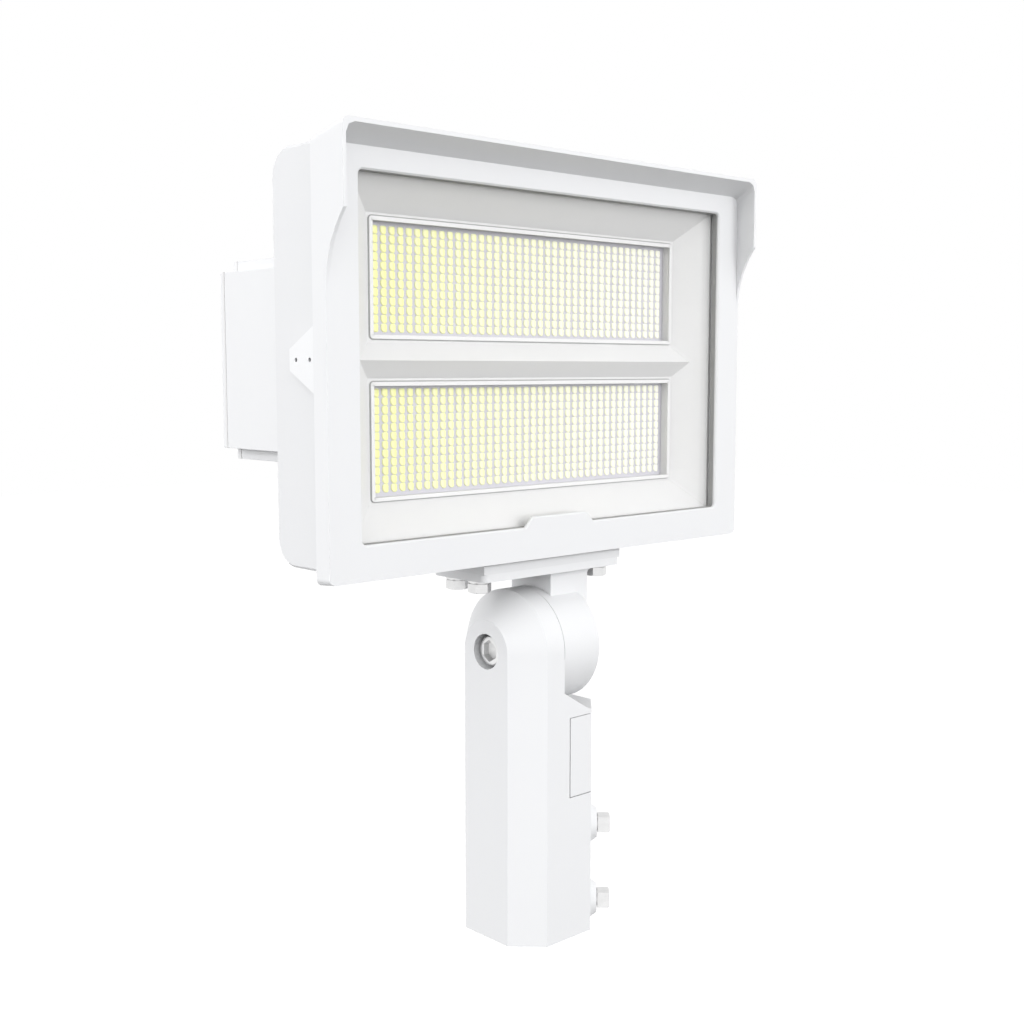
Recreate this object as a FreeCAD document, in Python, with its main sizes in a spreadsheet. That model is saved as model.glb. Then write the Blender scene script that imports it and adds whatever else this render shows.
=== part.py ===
import FreeCAD, Part
import math
import os
import Sketcher

# LED flood light on an adjustable slip-fitter knuckle.
# Millimetres, +Z up, the light faces -Y, and the origin is the centre of the socket's mouth.
# Pieces of the head are drawn in the head's own frame: origin at the centre of the lens window,
# on the bezel's front plane. Pieces of the knuckle are drawn about the pivot axis.

DIMENSIONS = (
    # slip-fitter arm
    ("arm_width", 76, "arm across X"),
    ("arm_depth", 77, "arm across Y, and the diameter of the ear and of the barrel"),
    ("arm_chamfer", 18, "leg of the arm's vertical chamfers and of the ear's bevel"),
    ("pivot_height", 190, "pivot axis above the socket's mouth"),
    ("tenon_bore", 61.2, "socket bore for a 60.3 mm pole tenon"),
    ("socket_depth", 88, "depth of the socket"),
    ("wire_hole", 36, "hole from the socket into the wiring chamber"),
    ("ear_offset", 5, "inner face of the ear, left of the middle"),
    ("shoulder_top", 164, "upper end of the sloped shoulder"),
    ("shoulder_height", 150, "flat end of the shoulder"),
    ("shoulder_run", 23, "length of the shoulder's slope along X"),
    ("saddle_gap", 0.8, "clearance between the barrel and the shoulder"),
    ("counterbore", 23, "counterbore for the pivot bolt's head"),
    ("counterbore_depth", 15, "depth of that counterbore"),
    # wiring cover
    ("cover_bottom", 94, "lower edge of the wiring opening"),
    ("cover_top", 147, "upper edge of the wiring opening"),
    ("cover_gap", 0.4, "seam round the wiring cover"),
    ("cover_seal", 0.8, "thickness of the cover's gasket"),
    ("chamber_width", 44, "wiring chamber across Y"),
    ("chamber_depth", 28, "wiring chamber on the arm's side of the seam"),
    ("chamber_margin", 5, "wall above and below the chamber"),
    ("cover_hollow", 29, "hollow of the cover along X"),
    ("cover_screw", 5, "cover screw thread"),
    ("cover_screw_pitch", 29, "distance between the cover screws"),
    ("cover_screw_sink", 10, "depth of the cover screw's counterbore"),
    ("cover_post", 12, "square post round each cover screw"),
    # set screws
    ("set_upper_height", 69, "upper set screw above the mouth"),
    ("set_lower_height", 17, "lower set screw above the mouth"),
    ("boss_base", 25, "set screw boss at the arm"),
    ("boss_tip", 19, "set screw boss at its end"),
    ("boss_height", 4.2, "height of the boss"),
    ("set_size", 12, "set screw thread"),
    ("set_head", 13, "square head across its flats"),
    ("set_head_height", 9, "height of the square head"),
    ("turn_gap", 0.3, "clearance of turning and sliding pieces"),
    # knuckle bracket
    ("barrel_right", 37, "outer end of the barrel, right of the middle"),
    ("barrel_bevel", 10, "bevel of the barrel's outer end"),
    ("pivot_size", 12, "pivot bolt thread"),
    ("pivot_head", 18, "pivot bolt's head"),
    ("pivot_head_height", 12, "height of that head"),
    ("pivot_socket", 10, "hexagon socket of the pivot bolt"),
    ("nut_bore", 27, "recess for the pivot nut"),
    ("nut_bore_depth", 14, "depth of that recess"),
    ("nut_flats", 18, "pivot nut across its flats"),
    ("nut_height", 10, "height of the pivot nut"),
    ("pivot_washer_width", 24, "pivot washer"),
    ("pivot_washer_thickness", 2.5, "thickness of the pivot washer"),
    ("neck_left", 2, "left side of the neck"),
    ("neck_right", 36, "right side of the neck"),
    ("neck_depth", 37, "neck across Y"),
    ("neck_fillet", 4, "fillet between neck and flange"),
    ("flange_height", 49.5, "underside of the flange above the pivot"),
    ("flange_width", 122, "flange across X"),
    ("flange_depth", 49, "flange across Y"),
    ("flange_thickness", 5, "thickness of the flange"),
    ("flange_corner", 4, "corner radius of the flange"),
    ("flange_seal", 1.5, "thickness of the flange gasket, sunk in the pedestal"),
    ("flange_seal_width", 92, "flange gasket across X, between the bolts"),
    ("flange_bolt", 8, "flange bolt thread"),
    ("flange_bolt_span", 105, "flange bolts across X"),
    ("flange_bolt_pitch", 21, "flange bolts across Y"),
    ("flange_bolt_flats", 13, "flange bolt's head across its flats"),
    ("flange_bolt_head", 5.3, "height of that head"),
    ("flange_washer", 16, "washer of the flange bolt"),
    ("flange_washer_thickness", 1.6, "thickness of that washer"),
    ("bolt_gap", 0.5, "clearance round a bolt in its hole"),
    ("wire_bore", 8, "wire bore through the neck"),
    ("wire_bore_right", 19, "wire bore right of the middle"),
    ("wire_bore_front", 11.5, "wire bore in front of the pivot axis"),
    # bezel and visor
    ("face_forward", 29.5, "bezel face in front of the pole axis"),
    ("pedestal_drop", 130.5, "pedestal underside below the window's centre"),
    ("bezel_width", 359.6, "bezel at its back"),
    ("visor_width", 355.2, "visor at its tip"),
    ("bezel_top", 119.5, "top of the bezel's back above the window's centre"),
    ("bezel_bottom", 124.6, "bottom of the bezel's back below the window's centre"),
    ("visor_top", 127, "top of the visor's tip above the window's centre"),
    ("visor_bottom", 122.8, "bottom of the same taper, below the window's centre"),
    ("bezel_depth", 11.3, "bezel from its face to its back"),
    ("visor_reach", 15.4, "visor in front of the face"),
    ("bezel_corner", 4, "corner radius of the bezel"),
    ("hood_root", 115.9, "underside of the hood at the face"),
    ("hood_tip", 2.5, "thickness of the hood's tip"),
    ("hood_corner", 6, "round corner between the hood and a wing, inside"),
    ("wing_wall", 2.2, "thickness of the side wings"),
    ("wing_straight", 80, "lower end of the wings' straight front edge"),
    ("wing_end", 38, "where the wings run out into the face"),
    ("window_width", 312, "lens window across X"),
    ("window_height", 206.4, "lens window across Z"),
    ("window_corner", 3, "corner radius of the window"),
    ("tab_base", 61.2, "lower tab at the window's edge"),
    ("tab_end", 48.8, "lower tab at its end"),
    ("tab_rise", 6.4, "lower tab into the window"),
    ("lip", 2.2, "bezel lip in front of the lens"),
    ("window_bevel", 1, "bevel of the window's front edge"),
    # lens and reflector
    ("lens_seal", 3.8, "lens gasket between the lip and the glass"),
    ("lens_seal_shrink", 0.3, "gasket's inner edge inside the window"),
    ("glass", 4, "thickness of the lens glass"),
    ("glass_lap_side", 4.5, "glass behind the lip at the sides"),
    ("glass_lap_top", 3, "glass behind the lip at the top and bottom"),
    ("glass_gap", 0.4, "clearance round the glass"),
    ("reflector_wall", 1.8, "wall of the reflector"),
    ("reflector_rim", 1.3, "thickness of the reflector's rim"),
    ("reflector_floor", 5.5, "depth of each board window behind the reflector's floor"),
    ("throat_width", 268, "reflector floor across X"),
    ("throat_top", 84, "far edge of each half of the reflector floor"),
    ("throat_low", 10.4, "near edge of each half of the reflector floor"),
    ("throat_ledge", 4, "floor ledge round each board window"),
    ("divider_height", 7.8, "divider ridge above the reflector's floor"),
    # LED boards
    ("board", 1.6, "thickness of an LED board"),
    ("board_width", 308, "LED board across X"),
    ("board_low", 7.5, "near edge of each board from the middle"),
    ("board_high", 96, "far edge of each board from the middle"),
    ("board_screw", 3, "board screw thread"),
    ("board_screw_head", 5.5, "board screw's head"),
    ("board_screw_height", 2, "height of that head"),
    # housing
    ("tray_width", 350, "housing across X"),
    ("tray_height", 236, "housing across Z"),
    ("tray_wall", 3.5, "wall of the housing"),
    ("tray_seal", 1, "gasket between bezel and housing"),
    ("tray_seal_width", 2.6, "width of that gasket"),
    ("tray_back", 57, "back of the housing behind the face"),
    ("floor_front", 32.6, "housing floor behind the face"),
    ("floor", 5, "thickness of the housing floor"),
    ("back_radius", 16, "rounded back edges of housing and fins"),
    ("side_bevel", 1.5, "bevel of the housing's side edges"),
    ("slot_count", 13, "air slots between the fins"),
    ("fin", 3, "thickness of a cooling fin"),
    ("bezel_screw", 4, "bezel screw thread"),
    ("bezel_screw_head", 7, "bezel screw's head"),
    ("bezel_screw_height", 2.6, "height of that head"),
    ("bezel_boss", 7, "square screw lug on the bezel's back"),
    ("bezel_boss_gap", 0.2, "clearance between lug and housing wall"),
    ("screw_gap", 0.2, "clearance round a small screw in its hole"),
    # driver compartment
    ("box_width", 319, "driver compartment across X"),
    ("box_height", 120, "driver compartment across Z"),
    ("box_back", 119.5, "back of the compartment's casting behind the face"),
    ("box_wall", 4, "wall of the compartment"),
    ("flare", 13, "concave flare from the fins to the compartment"),
    ("end_pad_height", 106, "raised end pad across Z"),
    ("end_pad_out", 9.5, "raised end pad beyond the compartment"),
    ("cover_plate", 4, "thickness of the driver cover"),
    ("cover_plate_seal", 1.5, "thickness of the driver cover's gasket"),
    ("cover_plate_bevel", 1.2, "bevelled rear edge of the driver cover"),
    ("box_boss", 9, "corner pillar inside the compartment"),
    ("box_screw", 4, "driver cover screw thread"),
    ("box_screw_head", 7.5, "driver cover screw's head"),
    ("box_screw_height", 2.6, "height of that head"),
    # driver, surge protector and grommet
    ("driver_length", 220, "LED driver across X"),
    ("driver_width", 70, "LED driver across Z"),
    ("driver_height", 40, "LED driver along Y"),
    ("driver_left", 25, "middle of the driver, left of the middle"),
    ("driver_ear", 11, "mounting ear of the driver"),
    ("driver_ear_width", 22, "mounting ear across Z"),
    ("driver_ear_thickness", 3, "thickness of the mounting ear"),
    ("driver_screw_height", 2.6, "height of the driver screw's head"),
    ("surge_length", 46, "surge protector across X"),
    ("surge_width", 34, "surge protector across Z"),
    ("surge_height", 28, "surge protector along Y"),
    ("surge_left", 96, "left end of the surge protector, right of the middle"),
    ("surge_low", 13, "lower edge of the surge protector"),
    ("grommet_right", 108, "wire grommet right of the middle"),
    ("grommet_groove", 10, "wire grommet in its hole"),
    ("grommet_flange", 13, "wire grommet's flanges"),
    ("grommet_lip", 1, "thickness of those flanges"),
    ("grommet_bore", 5, "wire hole of the grommet"),
    # accessory pads on the housing's sides
    ("pad_out", 3.5, "side pad beyond the housing wall"),
    ("pad_front_height", 38, "side pad at its front"),
    ("pad_back_height", 12, "side pad at its back"),
    ("pad_length", 24, "side pad along Y"),
    ("pad_hole", 2.5, "tapping hole of the side pad"),
    ("pad_hole_first", 4.3, "first tapping hole from the pad's front"),
    ("pad_hole_pitch", 13.3, "distance between the tapping holes"),
    ("pad_hole_depth", 6, "depth of the tapping holes"),
)

doc = FreeCAD.newDocument("led_flood_light")
sheet = doc.addObject("Spreadsheet::Sheet", "dims")


class Size:
    """A length that carries its value and the sheet formula that it comes from."""

    def __init__(self, value, text):
        self.value = float(value)
        self.text = text

    def join(self, other, sign, value):
        return Size(value, f"({self.text} {sign} {text_of(other)})")

    def __add__(self, other):
        return self.join(other, "+", self.value + value_of(other))

    def __sub__(self, other):
        return self.join(other, "-", self.value - value_of(other))

    def __mul__(self, other):
        return self.join(other, "*", self.value * value_of(other))

    def __truediv__(self, other):
        return self.join(other, "/", self.value / value_of(other))

    def __neg__(self):
        return Size(-self.value, f"(-1 * {self.text})")


def value_of(size):
    return size.value if isinstance(size, Size) else float(size)


def text_of(size):
    return size.text if isinstance(size, Size) else f"({size:.9f})"


class Dimensions:
    """One attribute for each cell of the sheet."""


d = Dimensions()
for row, (alias, number, note) in enumerate(DIMENSIONS, start=1):
    sheet.set(f"A{row}", alias)
    sheet.set(f"B{row}", str(number))
    sheet.set(f"C{row}", note)
    sheet.setAlias(f"B{row}", alias)
    setattr(d, alias, Size(number, f"dims.{alias}"))
doc.recompute()

# Direction of a sketch plane's normal along its global axis.
NORMAL = {"XY_Plane": 1, "XZ_Plane": -1, "YZ_Plane": 1}
HALF_ROOT = math.sqrt(0.5)
SCREW_SIDES = 12
FORWARD = -1
BACKWARD = 1
bodies = []


def bind(item, path, size):
    item.setExpression(path, text_of(size))


def new_body(label, x=0, y=0, z=0):
    """A body that is exported under its label, placed at x, y, z."""
    body = doc.addObject("PartDesign::Body", label)
    body.Label = label
    for axis, size in (("x", x), ("y", y), ("z", z)):
        if isinstance(size, Size):
            bind(body, f"Placement.Base.{axis}", size)
    bodies.append(body)
    return body


def origin_part(body, role):
    return next(item for item in body.Origin.OriginFeatures if item.Role == role)


def sketch_on(body, name, role, at=0, lift=0, turn=0):
    """A sketch on an origin plane, moved to a coordinate along the plane's axis."""
    sk = body.newObject("Sketcher::SketchObject", name)
    sk.AttachmentSupport = [(origin_part(body, role), "")]
    sk.MapMode = "FlatFace"
    spin = FreeCAD.Rotation(FreeCAD.Vector(0, 0, 1), turn)
    sk.AttachmentOffset = FreeCAD.Placement(FreeCAD.Vector(), spin)
    offset = at if NORMAL[role] > 0 else -at
    if isinstance(offset, Size):
        bind(sk, "AttachmentOffset.Base.z", offset)
    if isinstance(lift, Size):
        bind(sk, "AttachmentOffset.Base.y", lift)
    return sk


def pin_point(sk, geo, pos, x, y):
    """Hold one point of a sketch at coordinates bound to the sheet."""
    for kind, axis, size in (("DistanceX", -2, x), ("DistanceY", -1, y)):
        if value_of(size) == 0:
            sk.addConstraint(Sketcher.Constraint("PointOnObject", geo, pos, axis))
            continue
        rule = Sketcher.Constraint(kind, -1, 1, geo, pos, value_of(size))
        index = sk.addConstraint(rule)
        bind(sk, f"Constraints[{index}]", size)


def flat(x, y):
    return FreeCAD.Vector(value_of(x), value_of(y), 0)


def polygon(sk, points):
    """A closed outline of straight lines."""
    first = sk.GeometryCount
    count = len(points)
    for index in range(count):
        start = flat(*points[index])
        end = flat(*points[(index + 1) % count])
        sk.addGeometry(Part.LineSegment(start, end), False)
    for index in range(count):
        following = first + (index + 1) % count
        sk.addConstraint(Sketcher.Constraint("Coincident", first + index, 2, following, 1))
    for index, (x, y) in enumerate(points):
        pin_point(sk, first + index, 1, x, y)
    return first


def rectangle(sk, left, right, low, high):
    return polygon(sk, [(left, low), (right, low), (right, high), (left, high)])


def centred(sk, width, height):
    return rectangle(sk, -width / 2, width / 2, -height / 2, height / 2)


def square(sk, x, y, side):
    return rectangle(sk, side / -2 + x, side / 2 + x, side / -2 + y, side / 2 + y)


def circle(sk, x, y, diameter):
    middle = FreeCAD.Vector(value_of(x), value_of(y), 0)
    radius = value_of(diameter) / 2
    geo = sk.addGeometry(Part.Circle(middle, FreeCAD.Vector(0, 0, 1), radius), False)
    index = sk.addConstraint(Sketcher.Constraint("Radius", geo, radius))
    bind(sk, f"Constraints[{index}]", diameter / 2)
    pin_point(sk, geo, 3, x, y)


def regular(sk, x, y, flats, sides, phase=0.0):
    """A regular polygon given across its flats."""
    reach = flats / (2 * math.cos(math.pi / sides))
    angles = [phase + 2 * math.pi * index / sides for index in range(sides)]
    rays = [(round(math.cos(angle), 9), round(math.sin(angle), 9)) for angle in angles]
    polygon(sk, [(reach * ray_x + x, reach * ray_y + y) for ray_x, ray_y in rays])


def bar(sk, x, y, diameter):
    """The section of a small round bar or of the hole under a screw's head, inside its circle."""
    regular(sk, x, y, diameter * math.cos(math.pi / SCREW_SIDES), SCREW_SIDES)


def role_of(sk):
    return sk.AttachmentSupport[0][0].Role


def pad(body, sk, name, length, way=1):
    """Add material from the sketch, along (1) or against (-1) the global axis."""
    item = body.newObject("PartDesign::Pad", name)
    item.Profile = sk
    bind(item, "Length", length)
    item.Reversed = way != NORMAL[role_of(sk)]
    return item


def pad_both(body, sk, name, length):
    item = body.newObject("PartDesign::Pad", name)
    item.Profile = sk
    bind(item, "Length", length)
    item.SideType = "Symmetric"
    return item


def pocket(body, sk, name, depth=None, way=1):
    """Cut from the sketch, along or against the global axis, through all without a depth."""
    item = body.newObject("PartDesign::Pocket", name)
    item.Profile = sk
    if depth is None:
        item.Type = "ThroughAll"
    else:
        bind(item, "Length", depth)
    item.Reversed = way == NORMAL[role_of(sk)]
    return item


def pocket_both(body, sk, name):
    item = body.newObject("PartDesign::Pocket", name)
    item.Profile = sk
    item.Type = "ThroughAll"
    item.SideType = "Symmetric"
    return item


def loft(body, kind, name, first, last):
    item = body.newObject(f"PartDesign::{kind}Loft", name)
    item.Profile = first
    item.Sections = [last]
    item.Ruled = True
    return item


def turned(body, kind, sk, name):
    """A Revolution or Groove of a sketch about its own horizontal axis."""
    item = body.newObject(f"PartDesign::{kind}", name)
    item.Profile = sk
    item.ReferenceAxis = (sk, ["H_Axis"])
    item.Angle = 360
    return item


def dress(body, kind, base, name, size, chosen):
    """A Fillet or Chamfer on the edges of a feature for which chosen() is true."""
    doc.recompute()
    edges = enumerate(base.Shape.Edges, start=1)
    names = [f"Edge{number}" for number, edge in edges if chosen(edge)]
    item = body.newObject(f"PartDesign::{kind}", name)
    item.Base = (base, names)
    bind(item, "Radius" if kind == "Fillet" else "Size", size)
    return item


def runs_along(edge, axis):
    """True for a straight edge within 20 degrees of the axis."""
    if len(edge.Vertexes) < 2:
        return False
    chord = edge.Vertexes[-1].Point - edge.Vertexes[0].Point
    straight = abs(chord.Length - edge.Length) < 0.001
    return straight and abs(getattr(chord, axis)) > math.cos(math.radians(20)) * chord.Length


def lies_at(edge, axis, size):
    """True for an edge in the plane across the axis at that coordinate."""
    box = edge.BoundBox
    low = getattr(box, f"{axis}Min")
    high = getattr(box, f"{axis}Max")
    return abs(low - value_of(size)) < 0.01 and abs(high - value_of(size)) < 0.01


def fasteners(label, role, seat, way, places, head, head_height, shank, length, place, flats=0):
    """A group of like screws: heads on the seat plane along way, shanks against it."""
    body = new_body(label, *place)
    heads = sketch_on(body, f"{label}_head_outline", role, seat)
    for x, y in places:
        if flats:
            regular(heads, x, y, head, flats)
        else:
            bar(heads, x, y, head)
    pad(body, heads, f"{label}_heads", head_height, way)
    shanks = sketch_on(body, f"{label}_shank_outline", role, seat)
    for x, y in places:
        bar(shanks, x, y, shank)
    pad(body, shanks, f"{label}_shanks", length, -way)


# Sizes that several pieces share.
arm_half_x = d.arm_width / 2
arm_half_y = d.arm_depth / 2
bevel_face = (arm_half_x + arm_half_y - d.arm_chamfer) * HALF_ROOT
boss_face = bevel_face + d.boss_height
seat_height = d.flange_height + d.flange_thickness
head_height = d.pivot_height + seat_height + d.pedestal_drop
head_place = (0, -d.face_forward, head_height)
pivot_place = (0, 0, d.pivot_height)
flange_place = (0, 0, d.pivot_height + d.flange_height)
flange_seal_depth = d.flange_depth - d.flange_corner
glass_front = d.lip + d.lens_seal
glass_back = glass_front + d.glass
board_front = d.floor_front - d.board
throat_depth = board_front - d.reflector_floor
floor_back = d.floor_front + d.floor
tray_front = d.bezel_depth + d.tray_seal
tray_inner_x = d.tray_width / 2 - d.tray_wall
tray_inner_z = d.tray_height / 2 - d.tray_wall
slot_pitch = (tray_inner_x * 2 + d.fin) / d.slot_count
slot_width = slot_pitch - d.fin
box_half_x = d.box_width / 2
box_half_z = d.box_height / 2
pad_half_x = box_half_x + d.end_pad_out
box_inner_x = box_half_x - d.box_wall
box_inner_z = box_half_z - d.box_wall
boss_x = tray_inner_x - d.bezel_boss / 2 - d.bezel_boss_gap
boss_z = tray_inner_z - d.bezel_boss / 2 - d.bezel_boss_gap
bezel_screw_places = [(x, z) for x in (-boss_x, 0, boss_x) for z in (-boss_z, boss_z)]
box_boss_x = box_inner_x - d.box_boss / 2
box_boss_z = box_inner_z - d.box_boss / 2
box_screw_places = [(x, z) for x in (-box_boss_x, box_boss_x) for z in (-box_boss_z, box_boss_z)]
flange_bolt_places = [
    (d.flange_bolt_span * x, d.flange_bolt_pitch * y) for x in (-0.5, 0.5) for y in (-0.5, 0.5)
]
board_screw_x = d.board_width / 2 + d.board_screw / 2 + d.screw_gap
board_screw_z = (d.board_low + d.board_high) / 2
board_screw_places = [
    (x, z) for x in (-board_screw_x, board_screw_x) for z in (-board_screw_z, board_screw_z)
]
driver_screw_x = d.driver_length / 2 + d.driver_ear / 2
driver_screw_places = [
    (-d.driver_left - driver_screw_x, 0),
    (-d.driver_left + driver_screw_x, 0),
]
cover_middle = (d.cover_bottom + d.cover_top) / 2
cover_screw_places = [
    (0, cover_middle - d.cover_screw_pitch / 2),
    (0, cover_middle + d.cover_screw_pitch / 2),
]


def octagon(sk):
    """The arm's outline: a rectangle with chamfered corners."""
    inner_x = arm_half_x - d.arm_chamfer
    inner_y = arm_half_y - d.arm_chamfer
    polygon(sk, [
        (-inner_x, -arm_half_y), (inner_x, -arm_half_y), (arm_half_x, -inner_y), (arm_half_x, inner_y),
        (inner_x, arm_half_y), (-inner_x, arm_half_y), (-arm_half_x, inner_y), (-arm_half_x, -inner_y),
    ])


def make_arm():
    """Slip-fitter arm: octagonal socket, bevelled ear, sloped shoulder and wiring chamber."""
    body = new_body("slip_fitter_arm")
    outline = sketch_on(body, "arm_outline", "XY_Plane")
    octagon(outline)
    pad(body, outline, "arm_block", d.pivot_height)

    profile = sketch_on(body, "ear_profile", "XZ_Plane", lift=d.pivot_height)
    polygon(profile, [
        (-arm_half_x, 0), (-d.ear_offset, 0), (-d.ear_offset, arm_half_y),
        (-arm_half_x + d.arm_chamfer, arm_half_y), (-arm_half_x, arm_half_y - d.arm_chamfer),
    ])
    turned(body, "Revolution", profile, "ear")

    slope = sketch_on(body, "shoulder_profile", "XZ_Plane")
    beyond = arm_half_x + 1
    above = d.pivot_height + d.arm_depth
    polygon(slope, [
        (-d.ear_offset, d.shoulder_top), (d.shoulder_run - d.ear_offset, d.shoulder_height),
        (beyond, d.shoulder_height), (beyond, above), (-d.ear_offset, above),
    ])
    pocket_both(body, slope, "shoulder")

    saddle = sketch_on(body, "saddle_profile", "YZ_Plane", at=-d.ear_offset)
    circle(saddle, 0, d.pivot_height, d.arm_depth + d.saddle_gap * 2)
    pocket(body, saddle, "saddle", d.arm_width)

    for name, height in (("upper", d.set_upper_height), ("lower", d.set_lower_height)):
        boss = sketch_on(body, f"{name}_boss_profile", "XY_Plane", at=height, turn=-45)
        polygon(boss, [
            (bevel_face - 2, 0), (boss_face, 0), (boss_face, d.boss_tip / 2),
            (bevel_face, d.boss_base / 2), (bevel_face - 2, d.boss_base / 2),
        ])
        turned(body, "Revolution", boss, f"{name}_boss")
        thread = sketch_on(body, f"{name}_thread_profile", "XY_Plane", at=height, turn=-45)
        rectangle(thread, d.tenon_bore / 2 - 4, boss_face + 1, 0, d.set_size / 2 + d.turn_gap)
        turned(body, "Groove", thread, f"{name}_thread")

    socket = sketch_on(body, "socket_outline", "XY_Plane")
    circle(socket, 0, 0, d.tenon_bore)
    pocket(body, socket, "socket", d.socket_depth)
    wires = sketch_on(body, "wire_hole_outline", "XY_Plane")
    circle(wires, 0, 0, d.wire_hole)
    pocket(body, wires, "wire_hole", d.cover_bottom + d.chamber_margin + 1)

    opening = sketch_on(body, "cover_opening_outline", "YZ_Plane")
    rectangle(opening, -d.arm_depth, d.arm_depth, d.cover_bottom, d.cover_top)
    pocket(body, opening, "cover_opening", d.arm_width)
    chamber = sketch_on(body, "chamber_outline", "YZ_Plane")
    rectangle(
        chamber, -d.chamber_width / 2, d.chamber_width / 2,
        d.cover_bottom + d.chamber_margin, d.cover_top - d.chamber_margin,
    )
    pocket(body, chamber, "chamber", d.chamber_depth, -1)
    posts = sketch_on(body, "post_outline", "YZ_Plane")
    for y, z in cover_screw_places:
        square(posts, y, z, d.cover_post)
    pad(body, posts, "posts", d.chamber_depth, -1)
    passage = sketch_on(body, "passage_outline", "XY_Plane", at=d.cover_top - d.chamber_margin - 1)
    circle(passage, d.wire_bore_right, -d.wire_bore_front, d.wire_bore + 2)
    pocket(body, passage, "passage", d.chamber_margin * 3)

    counterbore = sketch_on(body, "counterbore_outline", "YZ_Plane", at=-arm_half_x)
    circle(counterbore, 0, d.pivot_height, d.counterbore)
    pocket(body, counterbore, "counterbore_cut", d.counterbore_depth)
    pivot = sketch_on(body, "pivot_outline", "YZ_Plane", at=-arm_half_x)
    circle(pivot, 0, d.pivot_height, d.pivot_size + d.turn_gap * 2)
    pocket(body, pivot, "pivot_hole", arm_half_x)


def make_wiring_cover():
    """Half-octagon cover over the wiring opening, its gasket and its screws."""
    body = new_body("wiring_cover")
    low = d.cover_bottom + d.cover_gap
    high = d.cover_top - d.cover_gap
    outline = sketch_on(body, "cover_outline", "XY_Plane", at=low)
    inner_x = arm_half_x - d.arm_chamfer
    inner_y = arm_half_y - d.arm_chamfer
    polygon(outline, [
        (d.cover_seal, -arm_half_y), (inner_x, -arm_half_y), (arm_half_x, -inner_y),
        (arm_half_x, inner_y), (inner_x, arm_half_y), (d.cover_seal, arm_half_y),
    ])
    pad(body, outline, "cover_block", high - low)
    hollow = sketch_on(body, "hollow_outline", "YZ_Plane", at=d.cover_seal)
    rectangle(
        hollow, -d.chamber_width / 2, d.chamber_width / 2, low + d.chamber_margin, high - d.chamber_margin,
    )
    pocket(body, hollow, "hollow", d.cover_hollow)
    posts = sketch_on(body, "post_outline", "YZ_Plane", at=d.cover_seal)
    for y, z in cover_screw_places:
        square(posts, y, z, d.cover_post)
    pad(body, posts, "posts", d.cover_hollow)
    holes = sketch_on(body, "screw_hole_outline", "YZ_Plane")
    for y, z in cover_screw_places:
        bar(holes, y, z, d.cover_screw + d.screw_gap * 2)
    pocket(body, holes, "screw_holes", d.arm_width)
    sinks = sketch_on(body, "screw_sink_outline", "YZ_Plane", at=arm_half_x)
    for y, z in cover_screw_places:
        circle(sinks, y, z, d.cover_screw * 2)
    pocket(body, sinks, "screw_sinks", d.cover_screw_sink, -1)

    seal = new_body("wiring_cover_gasket")
    ring = sketch_on(seal, "seal_outline", "YZ_Plane")
    rectangle(ring, -arm_half_y + 1, arm_half_y - 1, low, high)
    rectangle(
        ring, -d.chamber_width / 2, d.chamber_width / 2, low + d.chamber_margin, high - d.chamber_margin,
    )
    pad(seal, ring, "seal", d.cover_seal)

    fasteners(
        "wiring_cover_screws", "YZ_Plane", arm_half_x - d.cover_screw_sink, 1, cover_screw_places,
        d.cover_screw * 1.7, d.cover_screw * 0.7, d.cover_screw, arm_half_x - d.cover_screw_sink, (0, 0, 0),
    )


def make_set_screw(label, height):
    """Square-head set screw, drawn along Z from the pole axis and laid across the arm's bevel."""
    body = new_body(label, z=height)
    body.Placement.Rotation = FreeCAD.Rotation(FreeCAD.Vector(0, 0, 1), FreeCAD.Vector(1, -1, 0))
    under_head = boss_face + d.turn_gap
    tip_start = d.tenon_bore / 2 + d.turn_gap
    shank = sketch_on(body, "shank_outline", "XY_Plane", at=tip_start)
    circle(shank, 0, 0, d.set_size)
    thread = pad(body, shank, "shank", under_head - tip_start)
    dress(body, "Chamfer", thread, "tip", d.set_size / 8, lambda edge: lies_at(edge, "Z", tip_start))
    head = sketch_on(body, "head_outline", "XY_Plane", at=under_head)
    regular(head, 0, 0, d.set_head, 4, math.pi / 4)
    top = pad(body, head, "head", d.set_head_height)
    end = under_head + d.set_head_height
    dress(body, "Chamfer", top, "head_edge", d.set_head / 13, lambda edge: lies_at(edge, "Z", end))


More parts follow.
